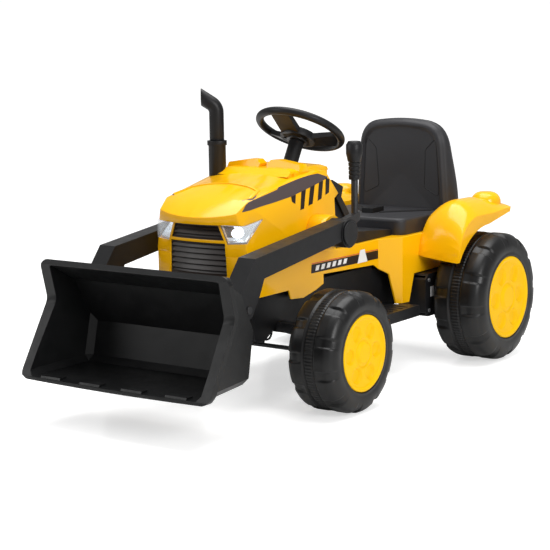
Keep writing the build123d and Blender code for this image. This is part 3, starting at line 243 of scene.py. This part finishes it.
DECAL_RED = finish("decal_red", (0.62, 0.05, 0.03), (0.68, 0.06, 0.035), 0.34, 500, 0.02, 0.08)
STEEL = finish("painted_steel", (0.012, 0.012, 0.013), (0.018, 0.018, 0.020), 0.36, 700, 0.05, 0.2, shine=0.4)
ZINC = finish("zinc", (0.56, 0.57, 0.58), (0.64, 0.64, 0.65), 0.32, 600, 0.04, 0.25, metal=1.0)
# The chrome bowls glow faintly: painted light standing in for their bright reflection of the lit lamp.
CHROME = finish("lamp_chrome", (0.82, 0.85, 0.88), (0.90, 0.92, 0.94), 0.14, 60, 0.02, 0.08, metal=1.0,
                glow=0.16)
BATTERY = finish("battery_case", (0.06, 0.065, 0.075), (0.08, 0.085, 0.095), 0.4, 700, 0.06)
RED = finish("button_red", (0.55, 0.02, 0.015), (0.62, 0.03, 0.02), 0.25, 400, 0.02)
WEBBING = finish("belt_webbing", (0.008, 0.008, 0.009), (0.013, 0.013, 0.014), 0.75, 1800, 0.25, shine=0.2)
LABEL = finish("pale_label", (0.66, 0.65, 0.65), (0.74, 0.73, 0.73), 0.5, 500, 0.02)


# %% [markdown]
# ## Lamp glass and lamp light
# The headlights are clear covers over metallised bowls, with a white lamp that is lit. The cover
# is nearly transparent, so its own colour barely shows; the light is an emission whose colour
# drifts slowly between blue white and white, as a diffuser's does.

# %% Clear cover and lit lamp
def clear_cover():
    material = finish("lamp_cover", (0.90, 0.95, 1.0), (0.93, 0.97, 1.0), 0.05, 80, 0.01, 0.05, coat=1.0)
    tree = material.node_tree
    shader = tree.nodes["Principled BSDF"]
    angle = tree.nodes.new("ShaderNodeLayerWeight")
    angle.inputs["Blend"].default_value = 0.35
    spread = tree.nodes.new("ShaderNodeMapRange")
    spread.inputs["To Min"].default_value = 0.10
    spread.inputs["To Max"].default_value = 0.55
    link(tree, angle.outputs["Facing"], spread.inputs["Value"])
    link(tree, spread.outputs["Result"], shader.inputs["Alpha"])
    return material


def lit_lamp():
    material = finish("lamp_light", (0.9, 0.95, 1.0), (0.95, 0.97, 1.0), 0.3, 200, 0.02)
    tree = material.node_tree
    shader = tree.nodes["Principled BSDF"]
    place = tree.nodes.new("ShaderNodeTexCoord")
    slow = noise_at(tree, place.outputs["Object"], 60.0, 2.0)
    ramp = tree.nodes.new("ShaderNodeValToRGB")
    ramp.color_ramp.elements[0].color = (0.80, 0.90, 1.0, 1)
    ramp.color_ramp.elements[1].color = (1.0, 1.0, 1.0, 1)
    link(tree, slow.outputs["Fac"], ramp.inputs["Fac"])
    link(tree, ramp.outputs["Color"], shader.inputs["Emission Color"])
    shader.inputs["Emission Strength"].default_value = 1.6
    return material


COVER, LIGHT = clear_cover(), lit_lamp()
print("finishes made:", len(bpy.data.materials))


# %% [markdown]
# ## Dress the CAD pieces
# A mould can't make a knife edge, so every plastic edge on the real toy is a small radius that
# catches a line of light. Each CAD piece keeps its exact mesh and gets three modifiers: weld the
# seams, drop the lines that lie flat, then round the edges by the width given in millimetres.
# Lamp covers, belts and the cable have a width of zero and keep the edges of the CAD.

# %% Put a finish and soft edges on a CAD node
def dress(node, material, width=0.0, angle=32.0, segments=2):
    piece = nodes[node]
    piece.data.materials.clear()
    piece.data.materials.append(material)
    for face in piece.data.polygons:
        face.material_index = 0
    if width:
        weld = piece.modifiers.new("weld", "WELD")
        weld.merge_threshold = 0.02 * MM
        flat = piece.modifiers.new("flat", "DECIMATE")
        flat.decimate_type = "DISSOLVE"
        flat.angle_limit = radians(1.5)
        soft = piece.modifiers.new("mould_edge", "BEVEL")
        soft.width = width * MM
        soft.segments = segments
        soft.limit_method = "ANGLE"
        soft.angle_limit = radians(angle)
        soft.harden_normals = True
        soft.use_clamp_overlap = True
    return piece


DRESS = [
    (("hood",), YELLOW, 2.5),
    (("lower_body",), YELLOW, 2.0),
    (("fender_left", "fender_right"), YELLOW, 1.8),
    (("pivot_bracket_left", "pivot_bracket_right"), YELLOW, 2.0),
    (("arm_left", "arm_right", "arm_caps"), BLACK, 3.0), (("bucket",), BUCKET_BLACK, 1.8),
    (("console", "chassis_frame", "footrest_left", "footrest_right"), BLACK, 1.6),
    (("gearbox_left", "gearbox_right"), BLACK, 1.6),
    (("exhaust_base", "exhaust_pipe", "steering_column"), BLACK, 0.8),
    (("steering_wheel", "horn_button", "lift_grip", "accelerator_pedal", "direction_switch"), BLACK, 1.2),
    (("seat_base",), SEAT_BLACK, 2.0),
    (("front_axle_beam", "knuckle_left", "knuckle_right", "tie_rod", "steering_shaft"), STEEL, 0.6),
    (("rear_axle", "lift_lever", "drive_motors", "bucket_pins", "arm_pivot_pins"), STEEL, 0.6),
    (("front_nut_left", "front_nut_right", "rear_axle_nuts", "body_screws"), ZINC, 0.3),
    (("headlight_lens_left", "headlight_lens_right"), COVER, 0.0),
    (("headlight_reflector_left", "headlight_reflector_right"), CHROME, 0.0),
    (("seat_belt_left", "seat_belt_right"), WEBBING, 0.0), (("belt_buckle",), BLACK, 1.0),
    (("wiring_loop",), BLACK, 0.0), (("battery",), BATTERY, 1.0), (("start_button",), RED, 0.8)]
for names, material, width in DRESS:
    for node in names:
        dress(node, material, width)
print("dressed:", sum(len(names) for names, _, _ in DRESS))


# %% [markdown]
# ## Meshes of our own
# What the mould presses in, such as tread, hub pattern and seat panels, is built here as meshes.
# A small helper makes the object, gives it its finish and slot, and lets it ride on its body.

# %% Make a piece
def make_piece(name, verts, faces, material, body, replaces=()):
    mesh = bpy.data.meshes.new(name)
    mesh.from_pydata(verts, [], faces)
    mesh.validate()
    work = bmesh.new()
    work.from_mesh(mesh)
    bmesh.ops.recalc_face_normals(work, faces=work.faces)
    work.to_mesh(mesh)
    work.free()
    mesh.shade_smooth()
    mesh.materials.append(material)
    piece = bpy.data.objects.new(name, mesh)
    scene.collection.objects.link(piece)
    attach(piece, body)
    if replaces:
        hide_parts(*replaces)
    return piece


def ease(t):
    """Smooth step from 0 to 1."""
    t = min(max(t, 0.0), 1.0)
    return t * t * (3 - 2 * t)


def grid_faces(rows, columns, close_rows=False, close_columns=False):
    """Quads of a grid whose vertices are stored row by row."""
    faces = []
    for i in range(rows if close_rows else rows - 1):
        for j in range(columns if close_columns else columns - 1):
            a, b = i * columns + j, i * columns + (j + 1) % columns
            c, d = ((i + 1) % rows) * columns + (j + 1) % columns, ((i + 1) % rows) * columns + j
            faces.append((a, b, c, d))
    return faces


# %% [markdown]
# ## Tyres
# The tyres are blow-moulded shells. Round the middle runs a band of fine cross ribs between two
# grooves; on each shoulder stand broad lugs, with a notch between them that deepens towards the
# side. The side wall is smooth with a lip round the hub. The mesh is a grid: one row per angle,
# one column per station across the tyre, and a small function says how high the tread stands.

# %% Height of the tread above its base
def tread_height(across, turn, lugs, ribs):
    """across is -1 to 1 over the width, turn is in radians; the answer is a share of full height."""
    side = abs(across)
    if side < 0.15:
        return 0.35 + 0.40 * (0.5 + 0.5 * cos(turn * ribs)) ** 0.7
    if side < 0.20:
        return -0.25
    start = 0.0 if across > 0 else 0.5
    phase = (turn / (2 * pi) * lugs + start) % 1.0
    gap = ease((phase - 0.02) / 0.04) * (1 - ease((phase - 0.30) / 0.04))
    reach = ease((side - 0.20) / 0.36)
    return 1.0 - 1.10 * gap * reach


def build_tyre(node, body, y, radius, width, face_x, hub_r, lugs):
    """One tyre on the driver's left (face_x > 0) or right (face_x < 0)."""
    sense = 1 if face_x > 0 else -1
    middle = face_x - sense * width / 2
    steps, ribs, lug = lugs * 40, lugs * 10, radius * 0.032
    shoulder = radius * 0.19
    flat = width / 2 - shoulder
    stations = [(-1.0, radius * 0.30), (-1.0, radius * 0.62), (-0.985, radius - shoulder * 1.5)]
    stations = [(a * width / 2, r, 0.0, a) for a, r in stations]
    for k in range(7):
        bend = pi / 2 * k / 6
        r = radius - shoulder + shoulder * sin(bend) - lug
        stations.append((-flat - shoulder * cos(bend), r, ease(bend / 0.9), -1))
    for k in range(1, 24):
        across = -flat + 2 * flat * k / 24
        stations.append((across, radius - lug, 1.0, across / (width / 2)))
    for x, r, share, a in reversed(stations[:]):
        if a < -0.9:
            stations.append((-x, r, share, -a))
    keep_hub = hub_r + 0.0002
    stations = [s for s in stations if not (s[0] > 0 and s[1] < keep_hub)]
    stations += [(width / 2 - 0.0015, hub_r + 0.006, 0.0, 1), (width / 2 - 0.0005, hub_r + 0.003, 0.0, 1),
                 (width / 2 - 0.001, hub_r + 0.0006, 0.0, 1), (width / 2 - 0.024, hub_r + 0.0006, 0.0, 1),
                 (width / 2 - 0.024, 0.02, 0.0, 1)]
    verts = []
    for i in range(steps):
        turn = 2 * pi * i / steps
        for x, r, share, a in stations:
            across = x / (width / 2)
            high = lug * share * tread_height(across, turn, lugs, ribs) if share else 0.0
            verts.append((middle + sense * x, y - (r + high) * sin(turn), radius + (r + high) * cos(turn)))
    faces = grid_faces(steps, len(stations), close_rows=True)
    return make_piece(node + "_tread", verts, faces, TYRE_BLACK, body, (node,))


FRONT = dict(y=AXLE_Y, radius=0.127, width=0.117, hub_r=0.081, lugs=11)
REAR = dict(y=0.461, radius=0.150, width=0.132, hub_r=0.097, lugs=12)
# which end, its sizes, and how far its outer face is from the middle
WHEELS = (("front", FRONT, 0.314), ("rear", REAR, 0.317))
for end, size, reach in WHEELS:
    for hand, sense in HANDS:
        tyre = build_tyre(f"{end}_{hand}_tyre", f"{end}_{hand}_wheel", face_x=sense * reach, **size)
print("tyre faces:", len(tyre.data.polygons))


# %% [markdown]
# ## Grilles
# Both grilles are black louvres that follow the bowed nose. Each slat leans back as it rises, so
# its face catches the light from above while the step over it stays dark. A flat border frames them.

# %% Louvres on the nose's curve
NOSE_HALF, NOSE_BOW, NOSE_REACH = 0.1155, 0.021, 0.1555      # half width, bow, reach ahead of the axle
GRILLE_THICK, GRILLE_BORDER, SLAT_LEAN = 0.0088, 0.0035, 0.0062
ROWS_PER_SLAT, GRILLE_COLUMNS = 10, 24


def nose_y(x):
    """Front of the grille at this x: an arc that bows forward in the middle."""
    bend = (NOSE_HALF ** 2 + NOSE_BOW ** 2) / (2 * NOSE_BOW)
    return AXLE_Y - NOSE_REACH + bend - (bend ** 2 - x ** 2) ** 0.5


def build_grille(node, half_top, z_top, half_low, z_low, slats):
    rows, columns = slats * ROWS_PER_SLAT, GRILLE_COLUMNS
    verts = []
    for i in range(rows + 1):
        share = i / rows
        z = z_low + (z_top - z_low) * share
        half = half_low + (half_top - half_low) * share
        inside = GRILLE_BORDER < z - z_low and GRILLE_BORDER < z_top - z
        step = (share * slats) % 1.0
        for j in range(columns + 1):
            x = -half + 2 * half * j / columns
            slatted = inside and 0 < j < columns
            verts.append((x, nose_y(x) + (SLAT_LEAN * step if slatted else 0.0), z))
    for i in range(rows + 1):
        for j in range(columns + 1):
            x, _, z = verts[i * (columns + 1) + j]
            verts.append((x, nose_y(x) + GRILLE_THICK, z))
    front = (rows + 1) * (columns + 1)
    faces = grid_faces(rows + 1, columns + 1)
    faces += [tuple(v + front for v in reversed(face)) for face in faces]
    rim = [j for j in range(columns + 1)] + [(i + 1) * (columns + 1) - 1 for i in range(1, rows + 1)]
    rim += [rows * (columns + 1) + j for j in range(columns - 1, -1, -1)]
    rim += [i * (columns + 1) for i in range(rows - 1, 0, -1)]
    faces += [(a, b, b + front, a + front) for a, b in zip(rim, rim[1:] + rim[:1])]
    piece = make_piece(node + "_louvres", verts, faces, GRILLE_BLACK, "chassis", (node,))
    for face in piece.data.polygons:
        face.use_smooth = False
    return piece


upper = build_grille("upper_grille", half_top=0.056, z_top=0.394, half_low=0.069, z_low=0.363, slats=3)
lower = build_grille("lower_grille", half_top=0.071, z_top=0.357, half_low=0.074, z_low=0.288, slats=6)
print("grille faces:", len(upper.data.polygons), len(lower.data.polygons))


# %% [markdown]
# ## Hub caps
# Each wheel's recess is closed by a yellow cap. Its face is a shallow relief: a rim, six rounded
# hollows between soft spokes, and a low round boss. It is modelled as a height over a disc, with
# smooth steps in place of sharp ones, because a moulding has no hard corners.

# %% Height of the cap's face
def cap_height(r, turn):
    """r is 0 to 1 from the middle to the rim; the answer is in metres below the rim."""
    well = ease((0.93 - r) / 0.05) * 0.0045
    spoke = (turn * 6 / (2 * pi)) % 1.0
    sideways = (spoke - 0.5) * 2 * pi * r / 6
    hollow = hypot(sideways / 0.20, (r - 0.63) / 0.21) ** 2
    well += ease((1.0 - hollow) / 0.30) * 0.0055
    ring = ease((r - 0.30) / 0.03) * (1 - ease((r - 0.36) / 0.03))
    well += ring * 0.0018
    return well - ease((0.30 - r) / 0.05) * 0.003


def build_cap(node, body, y, z, face_x, hub_r):
    sense = 1 if face_x > 0 else -1
    turns, rings = 120, 44
    edge = hub_r - 0.0008
    verts = []
    for j in range(rings + 1):
        share = j / rings
        for i in range(turns):
            turn = 2 * pi * i / turns
            deep = cap_height(share, turn) + (0.0015 if j == rings else 0.0)
            verts.append((face_x - sense * deep, y + edge * share * sin(turn), z + edge * share * cos(turn)))
    for i in range(turns):
        turn = 2 * pi * i / turns
        verts.append((face_x - sense * 0.022, y + edge * sin(turn), z + edge * cos(turn)))
    faces = grid_faces(rings + 2, turns, close_columns=True)
    piece = make_piece(node + "_cap", verts, faces, HUB_YELLOW, body, (node,))
    work = bmesh.new()
    work.from_mesh(piece.data)
    bmesh.ops.remove_doubles(work, verts=work.verts, dist=1e-6)
    bmesh.ops.recalc_face_normals(work, faces=work.faces)
    work.to_mesh(piece.data)
    work.free()
    return piece


for end, size, reach in WHEELS:
    for hand, sense in HANDS:
        wheel = f"{end}_{hand}_wheel"
        cap = build_cap(f"{end}_{hand}_hub", wheel, size["y"], size["radius"], sense * reach, size["hub_r"])
print("cap faces:", len(cap.data.polygons))


# %% [markdown]
# ## Backrest
# The backrest is one hollow moulding with a rounded rim, a panel set slightly back inside it and
# pressed lines that look like seams. The mesh is built from rings that shrink towards the middle
# of the outline, so the rim can be rounded evenly all the way round.

# %% Outline and section of the backrest
SEAT_FRONT_Y, SEAT_DEEP, SEAT_THIN = 0.488, 0.070, 0.038
SEAT_LOW, SEAT_TOP, SEAT_HALF, SEAT_FOOT = 0.306, 0.563, 0.117, 0.131


def rounded(points, radius, steps=8):
    """Round each corner of a closed outline with an arc that starts this far from the corner."""
    out = []
    count = len(points)
    for i, (x, z) in enumerate(points):
        before, after = points[i - 1], points[(i + 1) % count]
        ends = []
        for px, pz in (before, after):
            far = hypot(px - x, pz - z)
            step = min(radius[i], far * 0.45)
            ends.append((x + (px - x) / far * step, z + (pz - z) / far * step))
        for k in range(steps + 1):
            t = k / steps
            out.append(tuple((1 - t) ** 2 * a + 2 * t * (1 - t) * b + t * t * c
                             for a, b, c in zip(ends[0], (x, z), ends[1])))
    return out


def resample(outline, count):
    """The same closed outline with evenly spaced points."""
    nexts = outline[1:] + outline[:1]
    lengths = [hypot(b[0] - a[0], b[1] - a[1]) for a, b in zip(outline, nexts)]
    total, out, i, gone = sum(lengths), [], 0, 0.0
    for k in range(count):
        target = total * k / count
        while gone + lengths[i] < target:
            gone += lengths[i]
            i += 1
        t = (target - gone) / lengths[i]
        a, b = outline[i], outline[(i + 1) % len(outline)]
        out.append((a[0] + (b[0] - a[0]) * t, a[1] + (b[1] - a[1]) * t))
    return out


def rear_face(z):
    """Back of the backrest at a height: deep at the foot, thin at the top."""
    share = ease((z - SEAT_LOW - 0.05) / (SEAT_TOP - SEAT_LOW - 0.05))
    return SEAT_FRONT_Y + SEAT_DEEP + (SEAT_THIN - SEAT_DEEP) * share


def build_backrest():
    corners = [(-SEAT_FOOT, SEAT_LOW), (-SEAT_FOOT + 0.002, 0.385), (-SEAT_HALF, SEAT_TOP - 0.012),
               (0, SEAT_TOP + 0.001), (SEAT_HALF, SEAT_TOP - 0.012), (SEAT_FOOT - 0.002, 0.385),
               (SEAT_FOOT, SEAT_LOW)]
    outline = resample(rounded(corners, [0.010, 0.05, 0.058, 0.10, 0.058, 0.05, 0.010]), 168)
    middle = (0.0, 0.425)
    reach = 0.117
    shares = [0.0, 0.25, 0.5, 0.65, 0.74, 0.79, 0.82, 0.845, 0.87, 0.90, 0.93, 0.955, 0.975, 0.99, 1.0]
    verts = []
    for share in shares:
        for x, z in outline:
            px, pz = middle[0] + (x - middle[0]) * share, middle[1] + (z - middle[1]) * share
            from_edge = (1 - share) * reach
            y = SEAT_FRONT_Y + 0.0005 + 0.0045 * ease((from_edge - 0.013) / 0.006)
            y += 0.012 * (1 - ease(from_edge / 0.012)) ** 2
            y += 0.006 * ease(from_edge / reach) * ease((0.50 - pz) / 0.1)
            verts.append((px, y, pz))
    for share, back in ((1.0, 0.012), (0.985, 0.004), (0.95, 0.0), (0.8, 0.0), (0.4, 0.0), (0.0, 0.0)):
        for x, z in outline:
            px, pz = middle[0] + (x - middle[0]) * share, middle[1] + (z - middle[1]) * share
            verts.append((px, rear_face(pz) - back, pz))
    rows = len(verts) // len(outline)
    faces = grid_faces(rows, len(outline), close_columns=True)
    return make_piece("backrest", verts, faces, SEAT_BLACK, "chassis", ("seat_back",))


backrest = build_backrest()
print("backrest:", [round(v, 3) for v in backrest.dimensions])


# %% [markdown]
# ## Surfaces to stick things on
# Decals and pressed seams follow the surface under them. A ray cast from outside onto the piece
# finds that surface, so a thin strip can be laid just proud of it.

# %% Find the surface
def surface_of(obj):
    depsgraph = bpy.context.evaluated_depsgraph_get()
    shown = obj.evaluated_get(depsgraph)
    mesh = shown.to_mesh()
    corners = [v.co.copy() for v in mesh.vertices]
    tree = BVHTree.FromPolygons(corners, [tuple(p.vertices) for p in mesh.polygons])
    shown.to_mesh_clear()
    return tree


def side_x(tree, sense, y, z, miss):
    """x of the outermost surface at (y, z) on the left (sense 1) or right (sense -1)."""
    hit = tree.ray_cast(Vector((sense * 0.4, y, z)), Vector((-sense, 0, 0)))
    return hit[0].x if hit[0] is not None else miss


SIDE_MISSED = 0.118        # half width of the body, used where a ray passes an edge


def strip(name, tree, sense, top, low, material, proud=0.0004, columns=40, rows=6):
    """A decal between two curves given as (y, z) points, on the left (1) or right (-1) side."""
    def along(points, t):
        spans = len(points) - 1
        i = min(int(t * spans), spans - 1)
        f = t * spans - i
        return tuple(a + (b - a) * f for a, b in zip(points[i], points[i + 1]))
    verts = []
    for i in range(columns + 1):
        a, b = along(top, i / columns), along(low, i / columns)
        for j in range(rows + 1):
            y, z = (p + (q - p) * j / rows for p, q in zip(a, b))
            verts.append((side_x(tree, sense, y, z, sense * SIDE_MISSED) + sense * proud, y, z))
    return make_piece(name, verts, grid_faces(columns + 1, rows + 1), material, "chassis")


def mm(points):
    """Millimetres from the front axle, as (y, z), to the frame's metres."""
    return [(y * MM + AXLE_Y, z * MM) for y, z in points]


# %% [markdown]
# ## Decals
# The bonnet's sides carry a dark band that widens to the rear, with slanted warning stripes under
# it, and the lower body a black band with a fine line along its top. The real toy's lettering and
# sign are left out; plain bars of the same tone keep the rhythm of the band.

# %% Bonnet band and stripes
bpy.context.view_layer.update()
hood_surface, body_surface = surface_of(nodes["hood"]), surface_of(nodes["lower_body"])
BAND_TOP = mm([(-116, 443), (-90, 448), (-62, 453), (2, 464), (59, 473), (100, 477), (131, 478), (166, 468)])
BAND_LOW = mm([(-134, 422), (-108, 424), (-81, 427), (-26, 432), (29, 438), (102, 451), (140, 459),
               (166, 465)])
STRIPES = [[(29, 438), (47, 441), (43, 421), (31, 427)], [(68, 445), (85, 448), (74, 408), (60, 406)],
           [(101, 451), (118, 455), (107, 415), (91, 412)], [(134, 458), (150, 461), (141, 423), (126, 419)],
           [(160, 466), (174, 462), (170, 433), (156, 429)]]
BARS, FIRST_BAR, BAR_PITCH = 6, 112, 22
for hand, sense in HANDS:
    strip(f"bonnet_band_{hand}", hood_surface, sense, BAND_TOP, BAND_LOW, DECAL_GREY)
    for k, (a, b, c, d) in enumerate(STRIPES):
        strip(f"stripe_{hand}_{k}", hood_surface, sense, mm([a, b]), mm([d, c]), DECAL_BLACK,
              0.0005, 6, 8)
    strip(f"side_band_{hand}", body_surface, sense, mm([(94, 284), (364, 281)]), mm([(92, 265), (364, 262)]),
          DECAL_BLACK)
    strip(f"side_line_{hand}", body_surface, sense, mm([(94, 287), (364, 284)]), mm([(94, 285), (364, 282)]),
          DECAL_RED, rows=1)
    for k in range(BARS):
        y = FIRST_BAR + k * BAR_PITCH
        strip(f"side_bar_{hand}_{k}", body_surface, sense, mm([(y, 280), (y + 13, 280)]),
              mm([(y - 5, 269), (y + 8, 269)]), DECAL_WHITE, 0.0007, 3, 2)
    strip(f"side_mark_{hand}", body_surface, sense, mm([(288, 291), (306, 291)]),
          mm([(276, 262), (318, 262)]), DECAL_WHITE, 0.0008, 6, 4)
print("decals on each side:", 4 + len(STRIPES) + BARS)


# %% Rating label on each gearbox, left blank
for hand, sense in HANDS:
    box = surface_of(nodes[f"gearbox_{hand}"])
    label = strip(f"gearbox_label_{hand}", box, sense, mm([(500, 182), (516, 182)]),
                  mm([(500, 158), (516, 158)]), LABEL, 0.0006, 4, 4)
print("label:", [round(v, 3) for v in label.dimensions])


# %% [markdown]
# ## Seams in the backrest
# The six-sided panels at each side of the backrest are pressed lines. A thin bead in the darker frame black,
# laid a little more than half into the surface, paints the shade that falls in these grooves and keeps the
# mesh light.

# %% Lay a bead along a line
def bead(name, points, radius, material, body, sides=8):
    """A thin round bead through these points, closed into a ring."""
    count = len(points)
    verts = []
    for i, point in enumerate(points):
        here = Vector(point)
        along = (Vector(points[(i + 1) % count]) - Vector(points[i - 1])).normalized()
        out = along.cross(Vector((0, 1, 0)))
        out = out.normalized() if out.length > 1e-6 else Vector((1, 0, 0))
        up = out.cross(along)
        for k in range(sides):
            turn = 2 * pi * k / sides
            verts.append(here + (out * cos(turn) + up * sin(turn)) * radius)
    faces = grid_faces(count, sides, close_rows=True, close_columns=True)
    return make_piece(name, verts, faces, material, body)


def front_y(tree, x, z):
    hit = tree.ray_cast(Vector((x, 0.2, z)), Vector((0, 1, 0)))
    return hit[0].y if hit[0] is not None else SEAT_FRONT_Y


seat_surface = surface_of(backrest)
SEAM_R, SEAM_SUNK = 0.0011, 0.0004
HEX = [(0.096, 0.512), (0.070, 0.486), (0.065, 0.393), (0.104, 0.374), (0.108, 0.385), (0.100, 0.505)]
for hand, sense in HANDS:
    line = resample(rounded([(sense * x, z) for x, z in HEX], [0.006] * 6, 4), 90)
    laid = [(x, front_y(seat_surface, x, z) + SEAM_SUNK, z) for x, z in line]
    # The bead's darker black is painted shade in each pressed groove.
    seam = bead(f"painted_seam_shade_{hand}", laid, SEAM_R, BLACK, "chassis")
print("seam:", [round(v, 3) for v in seam.dimensions])


# %% [markdown]
# ## Lit lamps
# Behind each clear cover sits an oval lamp in its metallised bowl. Here it is a shallow dome of
# light, set square to the lamp's own axis.

# %% Build the lamps
LAMP_TURN = radians(40)
LAMP_REACH, LAMP_SHIFT, LAMP_Z = 0.134, -0.014, 0.374
LAMP_HALF_WIDE, LAMP_HALF_HIGH, LAMP_SIDES = 0.0135, 0.0105, 32


def build_lamp(hand, sense):
    out = Vector((sense * sin(LAMP_TURN), -cos(LAMP_TURN), 0))
    across = Vector((sense * cos(LAMP_TURN), sin(LAMP_TURN), 0))
    up = Vector((0, 0, 1))
    middle = out * LAMP_REACH + across * LAMP_SHIFT + up * LAMP_Z + Vector((0, AXLE_Y, 0))
    verts = []
    for share, deep in ((0.0, 0.004), (0.5, 0.003), (0.8, 0.0015), (1.0, 0.0)):
        for k in range(LAMP_SIDES):
            turn = 2 * pi * k / LAMP_SIDES
            oval = across * cos(turn) * LAMP_HALF_WIDE + up * sin(turn) * LAMP_HALF_HIGH
            verts.append(middle + oval * share + out * deep)
    faces = grid_faces(4, LAMP_SIDES, close_columns=True)
    return make_piece(f"lamp_{hand}", verts, faces, LIGHT, "chassis")


for hand, sense in HANDS:
    lamp = build_lamp(hand, sense)
print("lamp faces:", len(lamp.data.polygons))


# %% [markdown]
# ## Studio
# The toy stands on a pale floor that curves up into the backdrop, so no horizon shows. The light
# is a large soft panel overhead, one at each side, and a white surround that fills the shadows.

# %% Floor and backdrop
YAW = radians(35.66)       # the viewpoint and the backdrop are turned by this much


def build_floor():
    wide, near, far, bend, high, steps = 9.0, -9.0, 3.0, 4.0, 6.0, 12
    profile = [(near, 0.0), (far, 0.0)]
    for k in range(1, steps + 1):
        turn = pi / 2 * k / steps
        profile.append((far + bend * sin(turn), bend - bend * cos(turn)))
    profile.append((far + bend, bend + high))
    verts = []
    for along, z in profile:
        for side in (-wide, wide):
            verts.append((side * cos(YAW) - along * sin(YAW), side * sin(YAW) + along * cos(YAW), z))
    mesh = bpy.data.meshes.new("floor")
    mesh.from_pydata(verts, [], grid_faces(len(profile), 2))
    mesh.shade_smooth()
    floor = bpy.data.objects.new("floor", mesh)
    scene.collection.objects.link(floor)
    material = finish("studio_floor", (0.90, 0.90, 0.895), (0.92, 0.92, 0.915), 0.16, 30, 0.005, 0.04)
    tree = material.node_tree
    shader = tree.nodes["Principled BSDF"]
    shader.inputs["Specular IOR Level"].default_value = 0.22
    shader.inputs["Emission Color"].default_value = (1, 1, 1, 1)
    seen = tree.nodes.new("ShaderNodeLightPath")
    glow = tree.nodes.new("ShaderNodeMath")
    glow.operation = "MULTIPLY"
    glow.inputs[1].default_value = 0.55
    link(tree, seen.outputs["Is Camera Ray"], glow.inputs[0])
    link(tree, glow.outputs[0], shader.inputs["Emission Strength"])
    mesh.materials.append(material)
    floor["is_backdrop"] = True


def panel_light(name, place, side, power):
    light = bpy.data.lights.new(name, "AREA")
    light.shape = "RECTANGLE"
    light.size = light.size_y = side
    light.energy = power
    panel = bpy.data.objects.new(name, light)
    scene.collection.objects.link(panel)
    panel.location = place
    aim = Vector((0, 0, AIM_Z)) - Vector(place)
    panel.rotation_euler = aim.to_track_quat("-Z", "Y").to_euler()
    panel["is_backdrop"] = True


build_floor()
AIM_Z = 0.3                # every panel faces this height over the origin
panel_light("overhead", (0.0, 0.3, 3.0), 2.6, 96)
panel_light("front_left", (-2.6, -3.0, 2.0), 2.0, 36)
panel_light("front_right", (3.4, -1.4, 1.9), 1.6, 70)
world = bpy.data.worlds.new("surround")
scene.world = world
world.use_nodes = True
surround = world.node_tree.nodes["Background"]
surround.inputs["Color"].default_value = (1, 1, 1, 1)
surround.inputs["Strength"].default_value = 0.38
scene.view_settings.view_transform = "Standard"
print("stage and lights:", len(bpy.data.lights), "panels")

# %% [markdown]
# ## Viewpoint
# A long lens from the front left, a little above the toy, keeps the wheels nearly round and the
# bonnet's lines nearly straight.

# %% Camera
PITCH, ROLL, LENS = radians(9.16), radians(-0.94), 108.0
PLACE = Vector((2.10345, -2.97565, 0.82986))
backward = Vector((sin(YAW) * cos(PITCH), -cos(YAW) * cos(PITCH), sin(PITCH)))
right = (-backward).cross(Vector((0, 0, 1))).normalized()
upward = right.cross(-backward)
tilted = right * cos(ROLL) + upward * sin(ROLL)
upright = -right * sin(ROLL) + upward * cos(ROLL)
lens = bpy.data.cameras.new("viewpoint")
lens.lens = LENS
lens.sensor_width = 36.0
camera = bpy.data.objects.new("viewpoint", lens)
scene.collection.objects.link(camera)
turned = Matrix((tilted, upright, backward)).transposed().to_4x4()
camera.matrix_world = Matrix.Translation(PLACE) @ turned
scene.camera = camera
print("viewpoint:", [round(v, 3) for v in camera.matrix_world.translation])

# %% [markdown]
# ## Overall size
# The overall box before and after dressing is printed, so the two can be compared.

# %% Write the sizes and finish
visual_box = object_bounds()
for name, box in (("CAD box", cad_box), ("visual box", visual_box)):
    print(name, [[round(v, 3) for v in corner] for corner in box])
